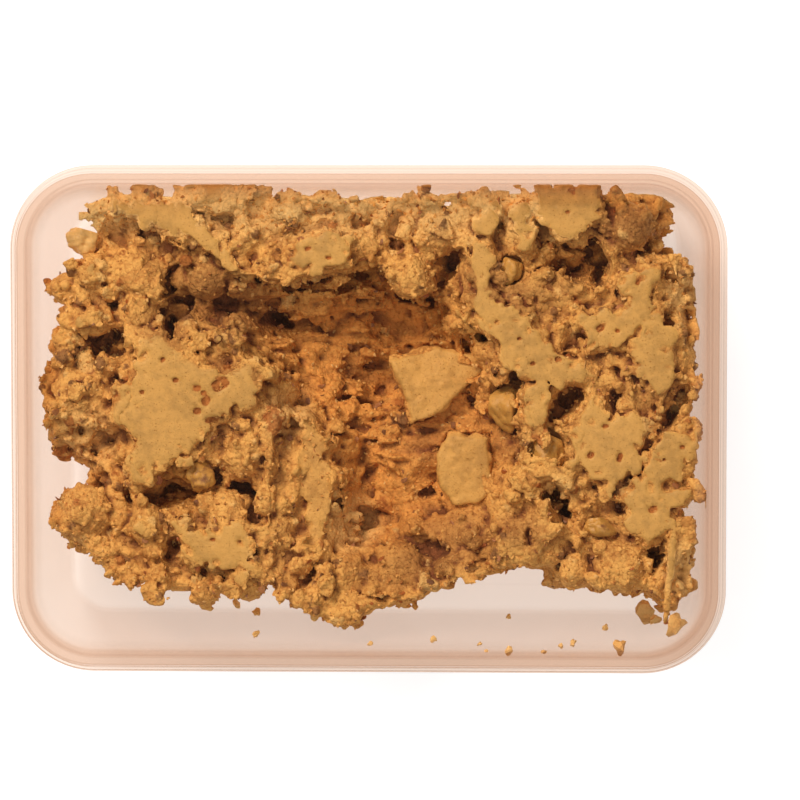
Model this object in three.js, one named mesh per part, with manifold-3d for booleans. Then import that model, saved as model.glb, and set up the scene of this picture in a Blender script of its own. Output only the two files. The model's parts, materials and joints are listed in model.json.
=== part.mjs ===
// A clear rectangular food tub with its lid pressed shut, and the crumbled walnut halva that fills it.
// Units are millimetres. +X runs along the tub, +Y to its back and +Z up from the middle of its base.
import * as THREE from "three";
import { mergeVertices } from "three/addons/utils/BufferGeometryUtils.js";
import Module from "manifold-3d";

const wasm = await Module();
wasm.setup();

// The tub and its lid, from outside.
const LENGTH = 172;
const WIDTH = 122;
const HEIGHT = 47;
const CORNER_RADIUS = 20;
const CORNER_STEPS = 6;

// The tub: a thin tapered shell under a rolled lip.
const FLOOR_TOP = 1.6;
const FOOT_RECESS = 0.6;
const FOOT_INNER_INSET = 16.6;
const FOOT_OUTER_INSET = 13;
const LIP_TOP = HEIGHT - 1.1;
const SHOULDER_Z = HEIGHT - 10.5;
const TUB_WALL = 1;
const WALL_TOP_INSET = 3.4;
const WALL_FOOT_INSET = 10;

// The lid: a skirt, a rounded bead and a panel set below it.
const LID_WALL = 0.8;
const SKIRT_DROP = 8;
const PANEL_DROP = 6.2;
const PANEL_INSET = 9.6;
const PANEL_UNDERSIDE = HEIGHT - PANEL_DROP - LID_WALL;

// The halva.
const TOUCH_GAP = 0.3;
const HALVA_FLOOR = FLOOR_TOP + TOUCH_GAP;
const HALVA_TOP = PANEL_UNDERSIDE - TOUCH_GAP;
const GRID_STEP = 3.8;
const OUTLINE_POINTS = 56;
const SIDE_LEVELS = [0, 9, 18, 27, 36, HEIGHT];
const SIDE_DENT = 3.2;
const SIDE_HILL = 9;
const CRAG_DEPTH = 5;
const CRAG_RELIEF = 5.5;
const CRAG_SIZE = 14;
const SMALL_CRAG_SIZE = 6.5;
const HOLLOW_EDGE = [0.72, 1.15];
const HOLLOW_RELIEF = 2.4;
const PATCH_EDGE = [0.85, 1.3];
const STONE_COUNT = 20;
const STONE_SMALLEST = 3;
const STONE_LARGEST = 5;
const STONE_SEED = 11;
const STREWN_LENGTH = 150;
const STREWN_WIDTH = 100;
const FRONT_STEPS = 10;
const FRONT_LEVELS = [8, 20];
const FRONT_CORNERS = [10, 25];
const LUMP_EDGE = 0.9;
const WALNUT_SEED = 100;

// The heap's outline seen from above, clockwise from its back left corner.
const HEAP_OUTLINE = [
  [-69, 51],
  [-56, 56],
  [0, 57.5],
  [60, 57.5],
  [72, 53],
  [70.5, 43],
  [77, 39],
  [80, 20],
  [80.5, -10],
  [79.5, -34],
  [74, -48],
  [64, -43.5],
  [46, -41.5],
  [38.5, -35.5],
  [31, -36.5],
  [20, -41.5],
  [4, -46.5],
  [-13, -49],
  [-20, -44],
  [-32, -43.5],
  [-39, -46.5],
  [-49, -42.5],
  [-62, -42],
  [-72, -34],
  [-78.5, -25],
  [-71.5, -16.5],
  [-78, -6],
  [-80, 16],
  [-78, 32],
  [-70.5, 39],
];

// Places where the halva was pressed flat: middle, half sizes, turn in degrees and drop below the lid.
const PRESSED_PATCHES = [
  { name: "back strip", x: -46.5, y: 47.3, along: 12, across: 3.6, turn: -31, drop: 0 },
  { name: "back middle", x: -11.8, y: 39.9, along: 6, across: 4.6, turn: 15, drop: 0 },
  { name: "back right small", x: 36.7, y: 45, along: 5.8, across: 2.6, turn: 85, drop: 0 },
  { name: "back oval", x: 47.1, y: 51.3, along: 7.6, across: 5.2, turn: 0, drop: 0 },
  { name: "crescent top", x: 27.8, y: 32.6, along: 10, across: 3.2, turn: -85, drop: 0 },
  { name: "crescent foot", x: 35.6, y: 18.6, along: 10.5, across: 6.6, turn: -45, drop: 0 },
  { name: "crescent tail", x: 45.4, y: 11.4, along: 6.5, across: 3, turn: -15, drop: 0 },
  { name: "right diagonal", x: 61.6, y: 26.3, along: 15, across: 6.2, turn: 55, drop: 0 },
  { name: "left patch", x: -50.3, y: 2.9, along: 16.5, across: 9, turn: 100, drop: 0 },
  { name: "middle chip", x: 40.8, y: 5.3, along: 5, across: 3.2, turn: 70, drop: 0.5 },
  { name: "right chip", x: 55, y: 2, along: 5, across: 3.4, turn: 80, drop: 0.5 },
  { name: "right edge", x: 72.2, y: -8.9, along: 7.4, across: 5.6, turn: 90, drop: 0 },
  { name: "right front", x: 69.8, y: -21.3, along: 8.8, across: 5.4, turn: 0, drop: 0 },
  { name: "left front", x: -38, y: -30.7, along: 8, across: 5.4, turn: -10, drop: 0 },
  { name: "middle ridge", x: -13.3, y: -17.4, along: 16, across: 3.8, turn: 88, drop: 7 },
];

// The deep hollow in the middle and the gaps between lumps: middle, half sizes, turn and height of the floor.
const HOLLOWS = [
  { name: "pit back", x: 3.4, y: 23.6, along: 29, across: 12.5, turn: 0, floor: 12 },
  { name: "pit back left", x: -26, y: 29.5, along: 12, across: 6.5, turn: -22, floor: 17 },
  { name: "pit middle", x: 4.6, y: 4.8, along: 27, across: 20, turn: 0, floor: 15 },
  { name: "pit front", x: 7, y: -20, along: 22, across: 19, turn: 0, floor: 23 },
  { name: "pit right", x: 32, y: 1, along: 11, across: 7, turn: 80, floor: 20 },
  { name: "left hole", x: -46.5, y: 24.5, along: 6.5, across: 5, turn: 70, floor: 22 },
  { name: "left gap", x: -65, y: 19, along: 7, across: 3.4, turn: -15, floor: 26 },
  { name: "left lower hole", x: -64, y: -5.5, along: 6, across: 4.4, turn: 60, floor: 30 },
  { name: "front left gap", x: -47, y: -20.5, along: 13.5, across: 3.8, turn: -10, floor: 22 },
  { name: "front left bend", x: -28.5, y: -22.5, along: 8.5, across: 3.6, turn: -50, floor: 24 },
  { name: "front left hole", x: -46.5, y: -32.3, along: 4.4, across: 2.8, turn: 35, floor: 28 },
  { name: "back right hollow", x: 51, y: 38.5, along: 11, across: 6.4, turn: -38, floor: 20 },
  { name: "middle right hole", x: 48.4, y: 4.6, along: 5, across: 4, turn: -40, floor: 24 },
  { name: "right edge gap", x: 73.4, y: 2.8, along: 6.5, across: 3, turn: 55, floor: 26 },
  { name: "front right gap", x: 45, y: -20.6, along: 6, across: 3.4, turn: -60, floor: 26 },
  { name: "right corner gap", x: 69, y: -32.4, along: 5.4, across: 3.2, turn: 60, floor: 24 },
];

// The larger lumps, each [x, y, radius, drop of its top below the lid].
const LUMPS = [
  [-57.5, 35, 6.4, 1.6],
  [-39.4, 34, 6, 4],
  [-67.4, 24, 5.2, 2.2],
  [-73.5, 31, 4.4, 4],
  [-56, 26, 5.2, 2.2],
  [-69.5, -24.2, 8, 3.4],
  [-54, -26, 5.4, 1.2],
  [-35.3, -23, 6, 1.6],
  [-39.7, -42, 4.4, 5],
  [-28.8, -40.6, 4.4, 4],
  [-30.7, -9, 6.6, 3.6],
  [-6.3, -40, 8.4, 7],
  [7.4, -38.6, 8.2, 9],
  [23.9, -30, 8.4, 9],
  [36.2, -18.6, 5.4, 5],
  [42, -25.4, 5.4, 2.6],
  [55.8, -12.5, 8, 0.4],
  [60.9, -36, 7, 1.2],
  [50, -37, 4.6, 5],
  [43, -32.6, 4.6, 4],
  [9.9, 34, 5.8, 0.8],
  [-1, 44, 6, 1],
  [17, 45, 6.4, 1.4],
  [-24, 44, 6.2, 0.8],
  [62, 46, 6.6, 1.6],
  [44, 28, 6, 2.4],
  [74, 14, 5.6, 2],
  [-72, 6, 5.2, 2.4],
];

// Flat faced lumps that broke off and lie on their own in the hollow: corners seen from above, height, tilt.
const SLAB = {
  corners: [[0, 8], [11, 11.6], [22.4, 8.7], [23, 6], [14.6, -1.6], [9.6, -5.8], [5, -7], [2.7, 2]],
  at: [4.4, 4.6],
  bottom: 18,
  thickness: 9,
  tilt: [-0.08, 0.1],
};
const BLOCK = {
  corners: [[0, 4], [2.5, 9.5], [12.4, 8.5], [13.8, -5], [10.5, -7.2], [5, -8], [1, -4]],
  at: [17.2, -13],
  bottom: 16,
  thickness: 14,
  tilt: [0.05, -0.08],
};

// Large bits of walnut that show at the surface: middle, half sizes and turn about the three axes.
const WALNUTS = [
  { name: "walnut_back_left", at: [-69.4, 43, 33.8], size: [5.4, 4.2, 3.4], turn: [0.2, 0.3, -0.4] },
  { name: "walnut_left", at: [-40.8, -14.2, 35.4], size: [4.2, 4.6, 3.2], turn: [0.1, -0.2, 0.4] },
  { name: "walnut_back_right", at: [34, 35.6, 35.2], size: [3.4, 4.4, 3], turn: [0.1, 0.1, -0.3] },
  { name: "walnut_middle", at: [33, 2.6, 30.4], size: [4.6, 7, 4.4], turn: [0.1, 0.2, 0.2] },
  { name: "walnut_right", at: [43, -8.4, 34.6], size: [4.6, 6.4, 4], turn: [0, 0.3, 0.1] },
  { name: "walnut_front", at: [56, -26.3, 35.6], size: [5.4, 2.8, 2.6], turn: [0.2, 0, -0.2] },
];

const CLEAR_PLASTIC = new THREE.MeshStandardMaterial({
  color: 0xf1dccf,
  roughness: 0.18,
  metalness: 0,
  transparent: true,
  opacity: 0.3,
});
const HALVA = new THREE.MeshStandardMaterial({ color: 0xc79352, roughness: 0.85, metalness: 0 });
const WALNUT = new THREE.MeshStandardMaterial({ color: 0x9a6a3c, roughness: 0.6, metalness: 0 });

// ---- small helpers ----

// Numbers from 0 to 1 that look random and are the same on every run.
function seededRandom(seed) {
  let state = seed;
  return () => {
    state = (state * 1664525 + 1013904223) % 4294967296;
    return state / 4294967296;
  };
}

// A fixed value from 0 to 1 for each corner of a square lattice.
function latticeValue(column, row, layer) {
  const wave = Math.sin(column * 127.1 + row * 311.7 + layer * 74.7) * 43758.5453;
  return wave - Math.floor(wave);
}

// Smooth noise from -1 to 1, with hills about one size across.
function hills(x, y, size, layer) {
  const column = Math.floor(x / size);
  const row = Math.floor(y / size);
  const ease = (t) => t * t * (3 - 2 * t);
  const u = ease(x / size - column);
  const v = ease(y / size - row);
  const along = (line) =>
    THREE.MathUtils.lerp(latticeValue(column, line, layer), latticeValue(column + 1, line, layer), u);
  return THREE.MathUtils.lerp(along(row), along(row + 1), v) * 2 - 1;
}

// How far (x, y) lies inside a turned ellipse: 0 at its middle, 1 on its edge.
function ellipseReach(x, y, { x: middleX, y: middleY, along, across, turn = 0 }) {
  const angle = THREE.MathUtils.degToRad(turn);
  const dx = x - middleX;
  const dy = y - middleY;
  const u = (dx * Math.cos(angle) + dy * Math.sin(angle)) / along;
  const v = (dy * Math.cos(angle) - dx * Math.sin(angle)) / across;
  return Math.hypot(u, v);
}

// ---- solids ----

// The closed solid of a geometry, for joining and cutting.
function toSolid(geometry) {
  const bare = geometry.clone();
  bare.deleteAttribute("normal");
  bare.deleteAttribute("uv");
  const merged = mergeVertices(bare, 1e-4);
  return new wasm.Manifold(
    new wasm.Mesh({
      numProp: 3,
      vertProperties: new Float32Array(merged.attributes.position.array),
      triVerts: new Uint32Array(merged.index.array),
    }),
  );
}

// The geometry of a closed solid, without any loose scrap that cutting left.
function toGeometry(solid) {
  const pieces = solid.decompose();
  const largest = pieces.reduce((best, piece) => (piece.volume() > best.volume() ? piece : best));
  const { numProp, vertProperties, triVerts } = largest.getMesh();
  const points = [];
  for (let i = 0; i < vertProperties.length; i += numProp) {
    points.push(vertProperties[i], vertProperties[i + 1], vertProperties[i + 2]);
  }
  const geometry = new THREE.BufferGeometry();
  geometry.setAttribute("position", new THREE.Float32BufferAttribute(points, 3));
  geometry.setIndex([...triVerts]);
  geometry.computeVertexNormals();
  return geometry;
}

// The tub's outline seen from above, anticlockwise, moved in by an inset.
function roundedOutline(inset) {
  const radius = CORNER_RADIUS - inset;
  const points = [];
  for (let corner = 0; corner < 4; corner++) {
    const middleX = (corner === 0 || corner === 3 ? 1 : -1) * (LENGTH / 2 - CORNER_RADIUS);
    const middleY = (corner < 2 ? 1 : -1) * (WIDTH / 2 - CORNER_RADIUS);
    for (let step = 0; step <= CORNER_STEPS; step++) {
      const angle = ((corner + step / CORNER_STEPS) * Math.PI) / 2;
      points.push([middleX + radius * Math.cos(angle), middleY + radius * Math.sin(angle)]);
    }
  }
  return points;
}

// A closed solid through rings of [x, y, z] points, listed from the middle of its underside outwards and round
// to the middle of its top. Both ends are closed with a fan.
function ringSolid(rings) {
  const around = rings[0].length;
  const points = rings.flat();
  const faces = [];
  for (let ring = 0; ring + 1 < rings.length; ring++) {
    for (let i = 0; i < around; i++) {
      const a = ring * around + i;
      const b = ring * around + ((i + 1) % around);
      faces.push(a, b, b + around, a, b + around, a + around);
    }
  }
  const underMiddle = points.push([0, 0, rings[0][0][2]]) - 1;
  const topMiddle = points.push([0, 0, rings[rings.length - 1][0][2]]) - 1;
  const lastRing = (rings.length - 1) * around;
  for (let i = 0; i < around; i++) {
    const next = (i + 1) % around;
    faces.push(next, i, underMiddle);
    faces.push(lastRing + i, lastRing + next, topMiddle);
  }
  const geometry = new THREE.BufferGeometry();
  geometry.setAttribute("position", new THREE.Float32BufferAttribute(points.flat(), 3));
  geometry.setIndex(faces);
  geometry.computeVertexNormals();
  return geometry;
}

// A solid whose walls follow the tub's rounded outline, from a profile of [inset, height] pairs.
function roundedVessel(profile) {
  return ringSolid(profile.map(([inset, z]) => roundedOutline(inset).map(([x, y]) => [x, y, z])));
}

// ---- tub and lid ----

function tubGeometry() {
  return roundedVessel([
    [FOOT_INNER_INSET + 0.6, FOOT_RECESS],
    [FOOT_INNER_INSET, 0],
    [FOOT_OUTER_INSET, 0],
    [WALL_FOOT_INSET + 1.2, 0.8],
    [WALL_FOOT_INSET, 3.2],
    [WALL_TOP_INSET + 0.9, SHOULDER_Z - 0.5],
    [WALL_TOP_INSET + 0.1, SHOULDER_Z + 0.3],
    [WALL_TOP_INSET, LIP_TOP - 3.3],
    [2.1, LIP_TOP - 3.3],
    [1.95, LIP_TOP - 2.8],
    [1.95, LIP_TOP - 0.8],
    [2.3, LIP_TOP - 0.2],
    [3, LIP_TOP],
    [3.9, LIP_TOP],
    [4.35, LIP_TOP - 0.4],
    [WALL_TOP_INSET + TUB_WALL + 0.1, SHOULDER_Z + 0.5],
    [WALL_TOP_INSET + TUB_WALL + 0.9, SHOULDER_Z - 0.5],
    [WALL_FOOT_INSET + TUB_WALL, 4],
    [WALL_FOOT_INSET + TUB_WALL + 1, 2.3],
    [WALL_FOOT_INSET + TUB_WALL + 2.6, FLOOR_TOP],
  ]);
}

function lidGeometry() {
  return roundedVessel([
    [PANEL_INSET, PANEL_UNDERSIDE],
    [7.5, PANEL_UNDERSIDE + 0.5],
    [6.6, PANEL_UNDERSIDE + 1.5],
    [5.1, HEIGHT - 2],
    [4.7, HEIGHT - 1.1],
    [4.3, HEIGHT - LID_WALL],
    [2.4, HEIGHT - LID_WALL],
    [1.8, HEIGHT - 1.2],
    [1.6, HEIGHT - 1.9],
    [1.55, HEIGHT - 5.3],
    [0.8, HEIGHT - 6],
    [0.8, HEIGHT - SKIRT_DROP],
    [0, HEIGHT - SKIRT_DROP],
    [0, HEIGHT - 5.6],
    [0.7, HEIGHT - 4.9],
    [0.8, HEIGHT - 1.6],
    [1.2, HEIGHT - 0.5],
    [2.1, HEIGHT],
    [4.5, HEIGHT],
    [5.4, HEIGHT - 0.5],
    [5.9, HEIGHT - 1.6],
    [7.4, HEIGHT - PANEL_DROP + 1.2],
    [8.2, HEIGHT - PANEL_DROP + 0.3],
    [PANEL_INSET, HEIGHT - PANEL_DROP],
  ]);
}

// The space that the contents may fill, a touch gap inside the tub's wall.
function roomSolid() {
  const wall = TUB_WALL + TOUCH_GAP;
  return toSolid(
    roundedVessel([
      [WALL_FOOT_INSET + wall + 3, HALVA_FLOOR],
      [WALL_FOOT_INSET + wall + 1, 2.8],
      [WALL_FOOT_INSET + wall, 4.4],
      [WALL_TOP_INSET + wall + 1, SHOULDER_Z - 0.6],
      [WALL_TOP_INSET + wall + 0.2, SHOULDER_Z + 0.4],
      [WALL_TOP_INSET + wall + 0.1, HALVA_TOP - 1.2],
      [WALL_TOP_INSET + wall + 1.6, HALVA_TOP],
    ]),
  );
}

// ---- halva ----

// Height of the heap's surface: crags, the hollows sunk in them, and the places pressed flat.
function heapHeight(x, y) {
  const relief = 0.6 * hills(x, y, CRAG_SIZE, 1) + 0.4 * hills(x, y, SMALL_CRAG_SIZE, 2);
  let height = HALVA_TOP - CRAG_DEPTH + CRAG_RELIEF * relief;
  for (const hollow of HOLLOWS) {
    const reach = ellipseReach(x, y, hollow) + 0.1 * hills(x, y, 9, 3);
    const rise = THREE.MathUtils.smoothstep(reach, ...HOLLOW_EDGE);
    const floor = hollow.floor + HOLLOW_RELIEF * hills(x, y, 8, 4);
    height = Math.min(height, THREE.MathUtils.lerp(floor, HALVA_TOP, rise));
  }
  for (const patch of PRESSED_PATCHES) {
    const reach = ellipseReach(x, y, patch) + 0.14 * hills(x, y, 5, 5);
    const press = 1 - THREE.MathUtils.smoothstep(reach, ...PATCH_EDGE);
    height = Math.max(height, THREE.MathUtils.lerp(height, HALVA_TOP - patch.drop, press));
  }
  return height;
}

// The heap as a block with that surface on top, still square all round.
function heapBlock() {
  const columns = Math.round(LENGTH / GRID_STEP);
  const rows = Math.round(WIDTH / GRID_STEP);
  const points = [];
  for (let row = 0; row <= rows; row++) {
    for (let column = 0; column <= columns; column++) {
      const x = (column / columns - 0.5) * LENGTH;
      const y = (row / rows - 0.5) * WIDTH;
      points.push([x, y, heapHeight(x, y)]);
    }
  }
  const faces = [];
  const at = (column, row) => row * (columns + 1) + column;
  for (let row = 0; row < rows; row++) {
    for (let column = 0; column < columns; column++) {
      const [a, b] = [at(column, row), at(column + 1, row)];
      const [d, c] = [at(column, row + 1), at(column + 1, row + 1)];
      const flip = (row + column) % 2;
      faces.push(...(flip ? [a, b, c, a, c, d] : [a, b, d, b, c, d]));
    }
  }
  const rim = [];
  for (let column = 0; column < columns; column++) rim.push(at(column, 0));
  for (let row = 0; row < rows; row++) rim.push(at(columns, row));
  for (let column = columns; column > 0; column--) rim.push(at(column, rows));
  for (let row = rows; row > 0; row--) rim.push(at(0, row));
  const foot = rim.map((top) => points.push([points[top][0], points[top][1], 0]) - 1);
  const middle = points.push([0, 0, 0]) - 1;
  rim.forEach((top, i) => {
    const next = (i + 1) % rim.length;
    faces.push(foot[i], foot[next], rim[next], foot[i], rim[next], top);
    faces.push(foot[next], foot[i], middle);
  });
  const geometry = new THREE.BufferGeometry();
  geometry.setAttribute("position", new THREE.Float32BufferAttribute(points.flat(), 3));
  geometry.setIndex(faces);
  return toSolid(geometry);
}

// The heap's sides, from below the floor to above the lid: its outline, dented unevenly all the way down.
function sidesSolid() {
  const corners = HEAP_OUTLINE.map(([x, y]) => new THREE.Vector3(x, y, 0)).reverse();
  const curve = new THREE.CatmullRomCurve3(corners, true, "centripetal");
  const outline = curve.getPoints(OUTLINE_POINTS).slice(0, OUTLINE_POINTS);
  const spacing = curve.getLength() / OUTLINE_POINTS;
  const rings = SIDE_LEVELS.map((z) =>
    outline.map((point, i) => {
      const after = outline[(i + 1) % OUTLINE_POINTS];
      const before = outline[(i + OUTLINE_POINTS - 1) % OUTLINE_POINTS];
      const inward = new THREE.Vector3(before.y - after.y, after.x - before.x, 0).normalize();
      const dent = 0.9 + 0.9 * hills(0.35 * spacing * i, z, SIDE_HILL, 6);
      const depth = z < HALVA_TOP - 3 ? SIDE_DENT * dent : 0;
      return [point.x + depth * inward.x, point.y + depth * inward.y, z];
    }),
  );
  return toSolid(ringSolid(rings));
}

// One broken lump with uneven flat sides.
function stone(x, y, z, radius, random) {
  const geometry = new THREE.IcosahedronGeometry(radius, 1);
  geometry.deleteAttribute("normal");
  geometry.deleteAttribute("uv");
  const merged = mergeVertices(geometry, 1e-3);
  const position = merged.attributes.position;
  for (let i = 0; i < position.count; i++) {
    const swell = 0.82 + 0.36 * random();
    position.setXYZ(i, position.getX(i) * swell, position.getY(i) * swell, position.getZ(i) * swell);
  }
  const turn = new THREE.Euler(random() * 6, random() * 6, random() * 6);
  const place = new THREE.Matrix4().compose(
    new THREE.Vector3(x, y, z),
    new THREE.Quaternion().setFromEuler(turn),
    new THREE.Vector3(1, 0.7 + 0.3 * random(), 0.6 + 0.3 * random()),
  );
  return toSolid(merged.applyMatrix4(place));
}

// Lumps fused to the heap: the large ones, small ones strewn over its top, and its open front side.
function fusedStones() {
  const random = seededRandom(STONE_SEED);
  const stones = LUMPS.map(([x, y, radius, drop]) => {
    const z = HALVA_TOP - drop - 0.85 * radius;
    return stone(x, y, z, radius, random);
  });
  for (let placed = 0; placed < STONE_COUNT; ) {
    const x = (random() - 0.5) * STREWN_LENGTH;
    const y = (random() - 0.5) * STREWN_WIDTH;
    if (PRESSED_PATCHES.some((patch) => ellipseReach(x, y, patch) < 1.2)) continue;
    const radius = THREE.MathUtils.lerp(STONE_SMALLEST, STONE_LARGEST, random());
    stones.push(stone(x, y, heapHeight(x, y) - 0.2 * radius, radius, random));
    placed += 1;
  }
  const frontCorners = HEAP_OUTLINE.slice(...FRONT_CORNERS);
  const front = new THREE.CatmullRomCurve3(frontCorners.map(([x, y]) => new THREE.Vector3(x, y, 0)));
  for (let step = 0; step <= FRONT_STEPS; step++) {
    const point = front.getPointAt(step / FRONT_STEPS);
    for (const level of FRONT_LEVELS) {
      const radius = THREE.MathUtils.lerp(STONE_LARGEST, 1.5 * STONE_LARGEST, random());
      const wander = 3 * (random() - 0.5);
      stones.push(stone(point.x + wander, point.y + 0.8 * radius, level + 5 * random(), radius, random));
    }
  }
  return stones;
}

// A flat faced lump in the hollow, or the same lump grown on every side by a gap.
function flatLump({ corners, at, bottom, thickness, tilt }, gap = 0) {
  const share = 1 / corners.length;
  const middle = corners.reduce((sum, [x, y]) => [sum[0] + share * x, sum[1] + share * y], [0, 0]);
  const outline = corners.map(([x, y]) => {
    const reach = Math.hypot(x - middle[0], y - middle[1]);
    const grow = (reach + gap) / reach;
    return new THREE.Vector2((x - middle[0]) * grow, (y - middle[1]) * grow);
  });
  if (!THREE.ShapeUtils.isClockWise(outline)) outline.reverse();
  const geometry = new THREE.ExtrudeGeometry(new THREE.Shape(outline), {
    depth: thickness - 2 * LUMP_EDGE + 2 * gap,
    bevelThickness: LUMP_EDGE,
    bevelSize: LUMP_EDGE,
    bevelOffset: -LUMP_EDGE,
    bevelSegments: 1,
  });
  geometry.translate(0, 0, LUMP_EDGE - gap);
  geometry.rotateX(tilt[0]);
  geometry.rotateY(tilt[1]);
  geometry.translate(at[0] + middle[0], at[1] + middle[1], bottom);
  return toSolid(geometry);
}

// A bit of walnut: a rounded lobe with uneven sides, or the same bit grown by a gap.
function walnutSolid({ at, size, turn }, index, gap = 0) {
  const random = seededRandom(WALNUT_SEED + index);
  const geometry = new THREE.IcosahedronGeometry(1, 1);
  geometry.deleteAttribute("normal");
  geometry.deleteAttribute("uv");
  const merged = mergeVertices(geometry, 1e-3);
  const position = merged.attributes.position;
  for (let i = 0; i < position.count; i++) {
    const swell = 0.9 + 0.14 * random();
    position.setXYZ(i, position.getX(i) * swell, position.getY(i) * swell, position.getZ(i) * swell);
  }
  const grown = new THREE.Vector3(...size).addScalar(gap * 1.3);
  const rotation = new THREE.Quaternion().setFromEuler(new THREE.Euler(...turn));
  const place = new THREE.Matrix4().compose(new THREE.Vector3(...at), rotation, grown);
  return toSolid(merged.applyMatrix4(place));
}

// ---- the whole part ----

const room = roomSolid();
const slab = flatLump(SLAB).intersect(room);
const block = flatLump(BLOCK).intersect(room);
const walnuts = WALNUTS.map((walnut, i) => walnutSolid(walnut, i).intersect(room));

let heap = heapBlock().intersect(sidesSolid());
for (const lump of fusedStones()) heap = heap.add(lump);
heap = heap.intersect(room);
heap = heap.subtract(flatLump(SLAB, TOUCH_GAP)).subtract(flatLump(BLOCK, TOUCH_GAP));
WALNUTS.forEach((walnut, i) => {
  heap = heap.subtract(walnutSolid(walnut, i, TOUCH_GAP));
});

const part = new THREE.Group();

function addMesh(name, geometry, material, parent = part) {
  const mesh = new THREE.Mesh(geometry, material.clone());
  mesh.name = name;
  parent.add(mesh);
}

addMesh("tub", tubGeometry(), CLEAR_PLASTIC);
addMesh("lid", lidGeometry(), CLEAR_PLASTIC);

const contents = new THREE.Group();
part.add(contents);
addMesh("halva", toGeometry(heap), HALVA, contents);
addMesh("halva_slab", toGeometry(slab), HALVA, contents);
addMesh("halva_block", toGeometry(block), HALVA, contents);
WALNUTS.forEach((walnut, i) => addMesh(walnut.name, toGeometry(walnuts[i]), WALNUT, contents));

export default part;
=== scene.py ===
"""Looks of a clear tub packed with crumbled walnut halva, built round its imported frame.

Tables and functions use millimetres and the meshes are made in metres. +X runs along
the tub, +Y to its back and +Z up from the middle of its base.
"""

import json
import math

import bmesh
import bpy
import numpy as np
import openvdb
from bpy.props import FloatProperty, FloatVectorProperty, IntProperty, PointerProperty
from mathutils import Euler, Matrix, Vector

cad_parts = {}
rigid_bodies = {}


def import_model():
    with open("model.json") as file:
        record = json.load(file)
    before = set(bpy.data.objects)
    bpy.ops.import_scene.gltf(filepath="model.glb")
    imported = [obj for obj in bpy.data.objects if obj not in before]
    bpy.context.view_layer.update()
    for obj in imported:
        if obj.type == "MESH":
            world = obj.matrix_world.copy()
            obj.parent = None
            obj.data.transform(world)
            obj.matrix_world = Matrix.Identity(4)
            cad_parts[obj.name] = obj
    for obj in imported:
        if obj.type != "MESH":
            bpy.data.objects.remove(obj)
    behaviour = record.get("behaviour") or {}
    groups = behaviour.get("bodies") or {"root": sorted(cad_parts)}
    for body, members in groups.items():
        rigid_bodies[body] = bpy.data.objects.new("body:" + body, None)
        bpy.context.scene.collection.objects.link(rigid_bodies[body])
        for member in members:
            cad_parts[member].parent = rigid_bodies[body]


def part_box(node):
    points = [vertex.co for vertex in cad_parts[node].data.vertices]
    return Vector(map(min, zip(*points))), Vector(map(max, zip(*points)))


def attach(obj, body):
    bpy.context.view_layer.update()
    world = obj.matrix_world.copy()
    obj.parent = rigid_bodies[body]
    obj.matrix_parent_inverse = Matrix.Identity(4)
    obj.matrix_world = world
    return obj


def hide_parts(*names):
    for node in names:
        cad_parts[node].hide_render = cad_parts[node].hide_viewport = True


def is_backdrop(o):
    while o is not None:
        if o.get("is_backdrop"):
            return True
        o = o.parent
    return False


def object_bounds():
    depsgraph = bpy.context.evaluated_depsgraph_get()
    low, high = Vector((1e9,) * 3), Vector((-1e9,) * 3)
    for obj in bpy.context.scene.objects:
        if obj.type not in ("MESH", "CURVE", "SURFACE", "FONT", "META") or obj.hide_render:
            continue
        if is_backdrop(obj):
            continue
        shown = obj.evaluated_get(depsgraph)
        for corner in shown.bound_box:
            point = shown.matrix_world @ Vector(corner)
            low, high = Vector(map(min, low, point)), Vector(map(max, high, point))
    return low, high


bl_info = {
    "name": "Walnut Halva Tub",
    "version": (1, 0, 0),
    "blender": (4, 5, 0),
    "location": "3D View > Sidebar > Halva",
    "description": "Builds a clear tub packed with crumbled walnut halva",
    "category": "Add Mesh",
}

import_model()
CAD_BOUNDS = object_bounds()

MM = 0.001

# ---- the tub, in mm ----

LID_LOW, LID_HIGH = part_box("lid")
HALF_LENGTH = (LID_HIGH.x - LID_LOW.x) / 2 / MM
HALF_WIDTH = (LID_HIGH.y - LID_LOW.y) / 2 / MM
CORNER_RADIUS = 20.0
CORNER_STEPS = 20
LID_UNDERSIDE = 40.0
FLOOR_TOP = 1.6

# Profiles as pairs of inset from the tub's outline and height, round the wall.
TUB_PROFILE = [
    (17.2, 0.6), (16.6, 0.0), (13.0, 0.0), (11.2, 0.8), (10.0, 3.2), (4.3, 36.0), (3.5, 36.8),
    (3.4, 42.6), (2.1, 42.6), (1.95, 43.1), (1.95, 45.1), (2.3, 45.7), (3.0, 45.9), (3.9, 45.9),
    (4.35, 45.5), (4.5, 37.0), (5.3, 36.0), (11.0, 4.0), (12.0, 2.3), (13.6, 1.6),
]
LID_PROFILE = [
    (9.6, 40.0), (7.5, 40.5), (6.6, 41.5), (5.1, 45.0), (4.7, 45.9), (4.3, 46.2), (2.4, 46.2),
    (1.8, 45.8), (1.6, 45.1), (1.55, 41.7), (0.8, 41.0), (0.8, 39.0), (0.0, 39.0), (0.0, 41.4),
    (0.7, 42.1), (0.8, 45.4), (1.2, 46.5), (2.1, 47.0), (4.5, 47.0), (5.4, 46.5), (5.9, 45.4),
    (7.4, 42.0), (8.2, 41.1), (9.6, 40.8),
]
# The space inside the tub that the halva is pressed against.
ROOM_HEIGHTS = [1.6, 2.3, 4.0, 36.0, 37.0, 39.2, 40.0]
ROOM_INSETS = [13.7, 12.1, 11.1, 5.4, 4.6, 4.6, 5.6]
# The tub's inner face, and the heights between which its rim takes on more tint, in part
# painted shade that grows towards the tub's ends.
WALL_HEIGHTS = [1.6, 2.3, 4.0, 36.0, 37.0, 45.0]
WALL_INSETS = [13.6, 12.0, 11.0, 5.3, 4.5, 4.35]
RIM_BOTTOM, RIM_TOP = 35, 37

# ---- the heap, in mm ----

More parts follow.
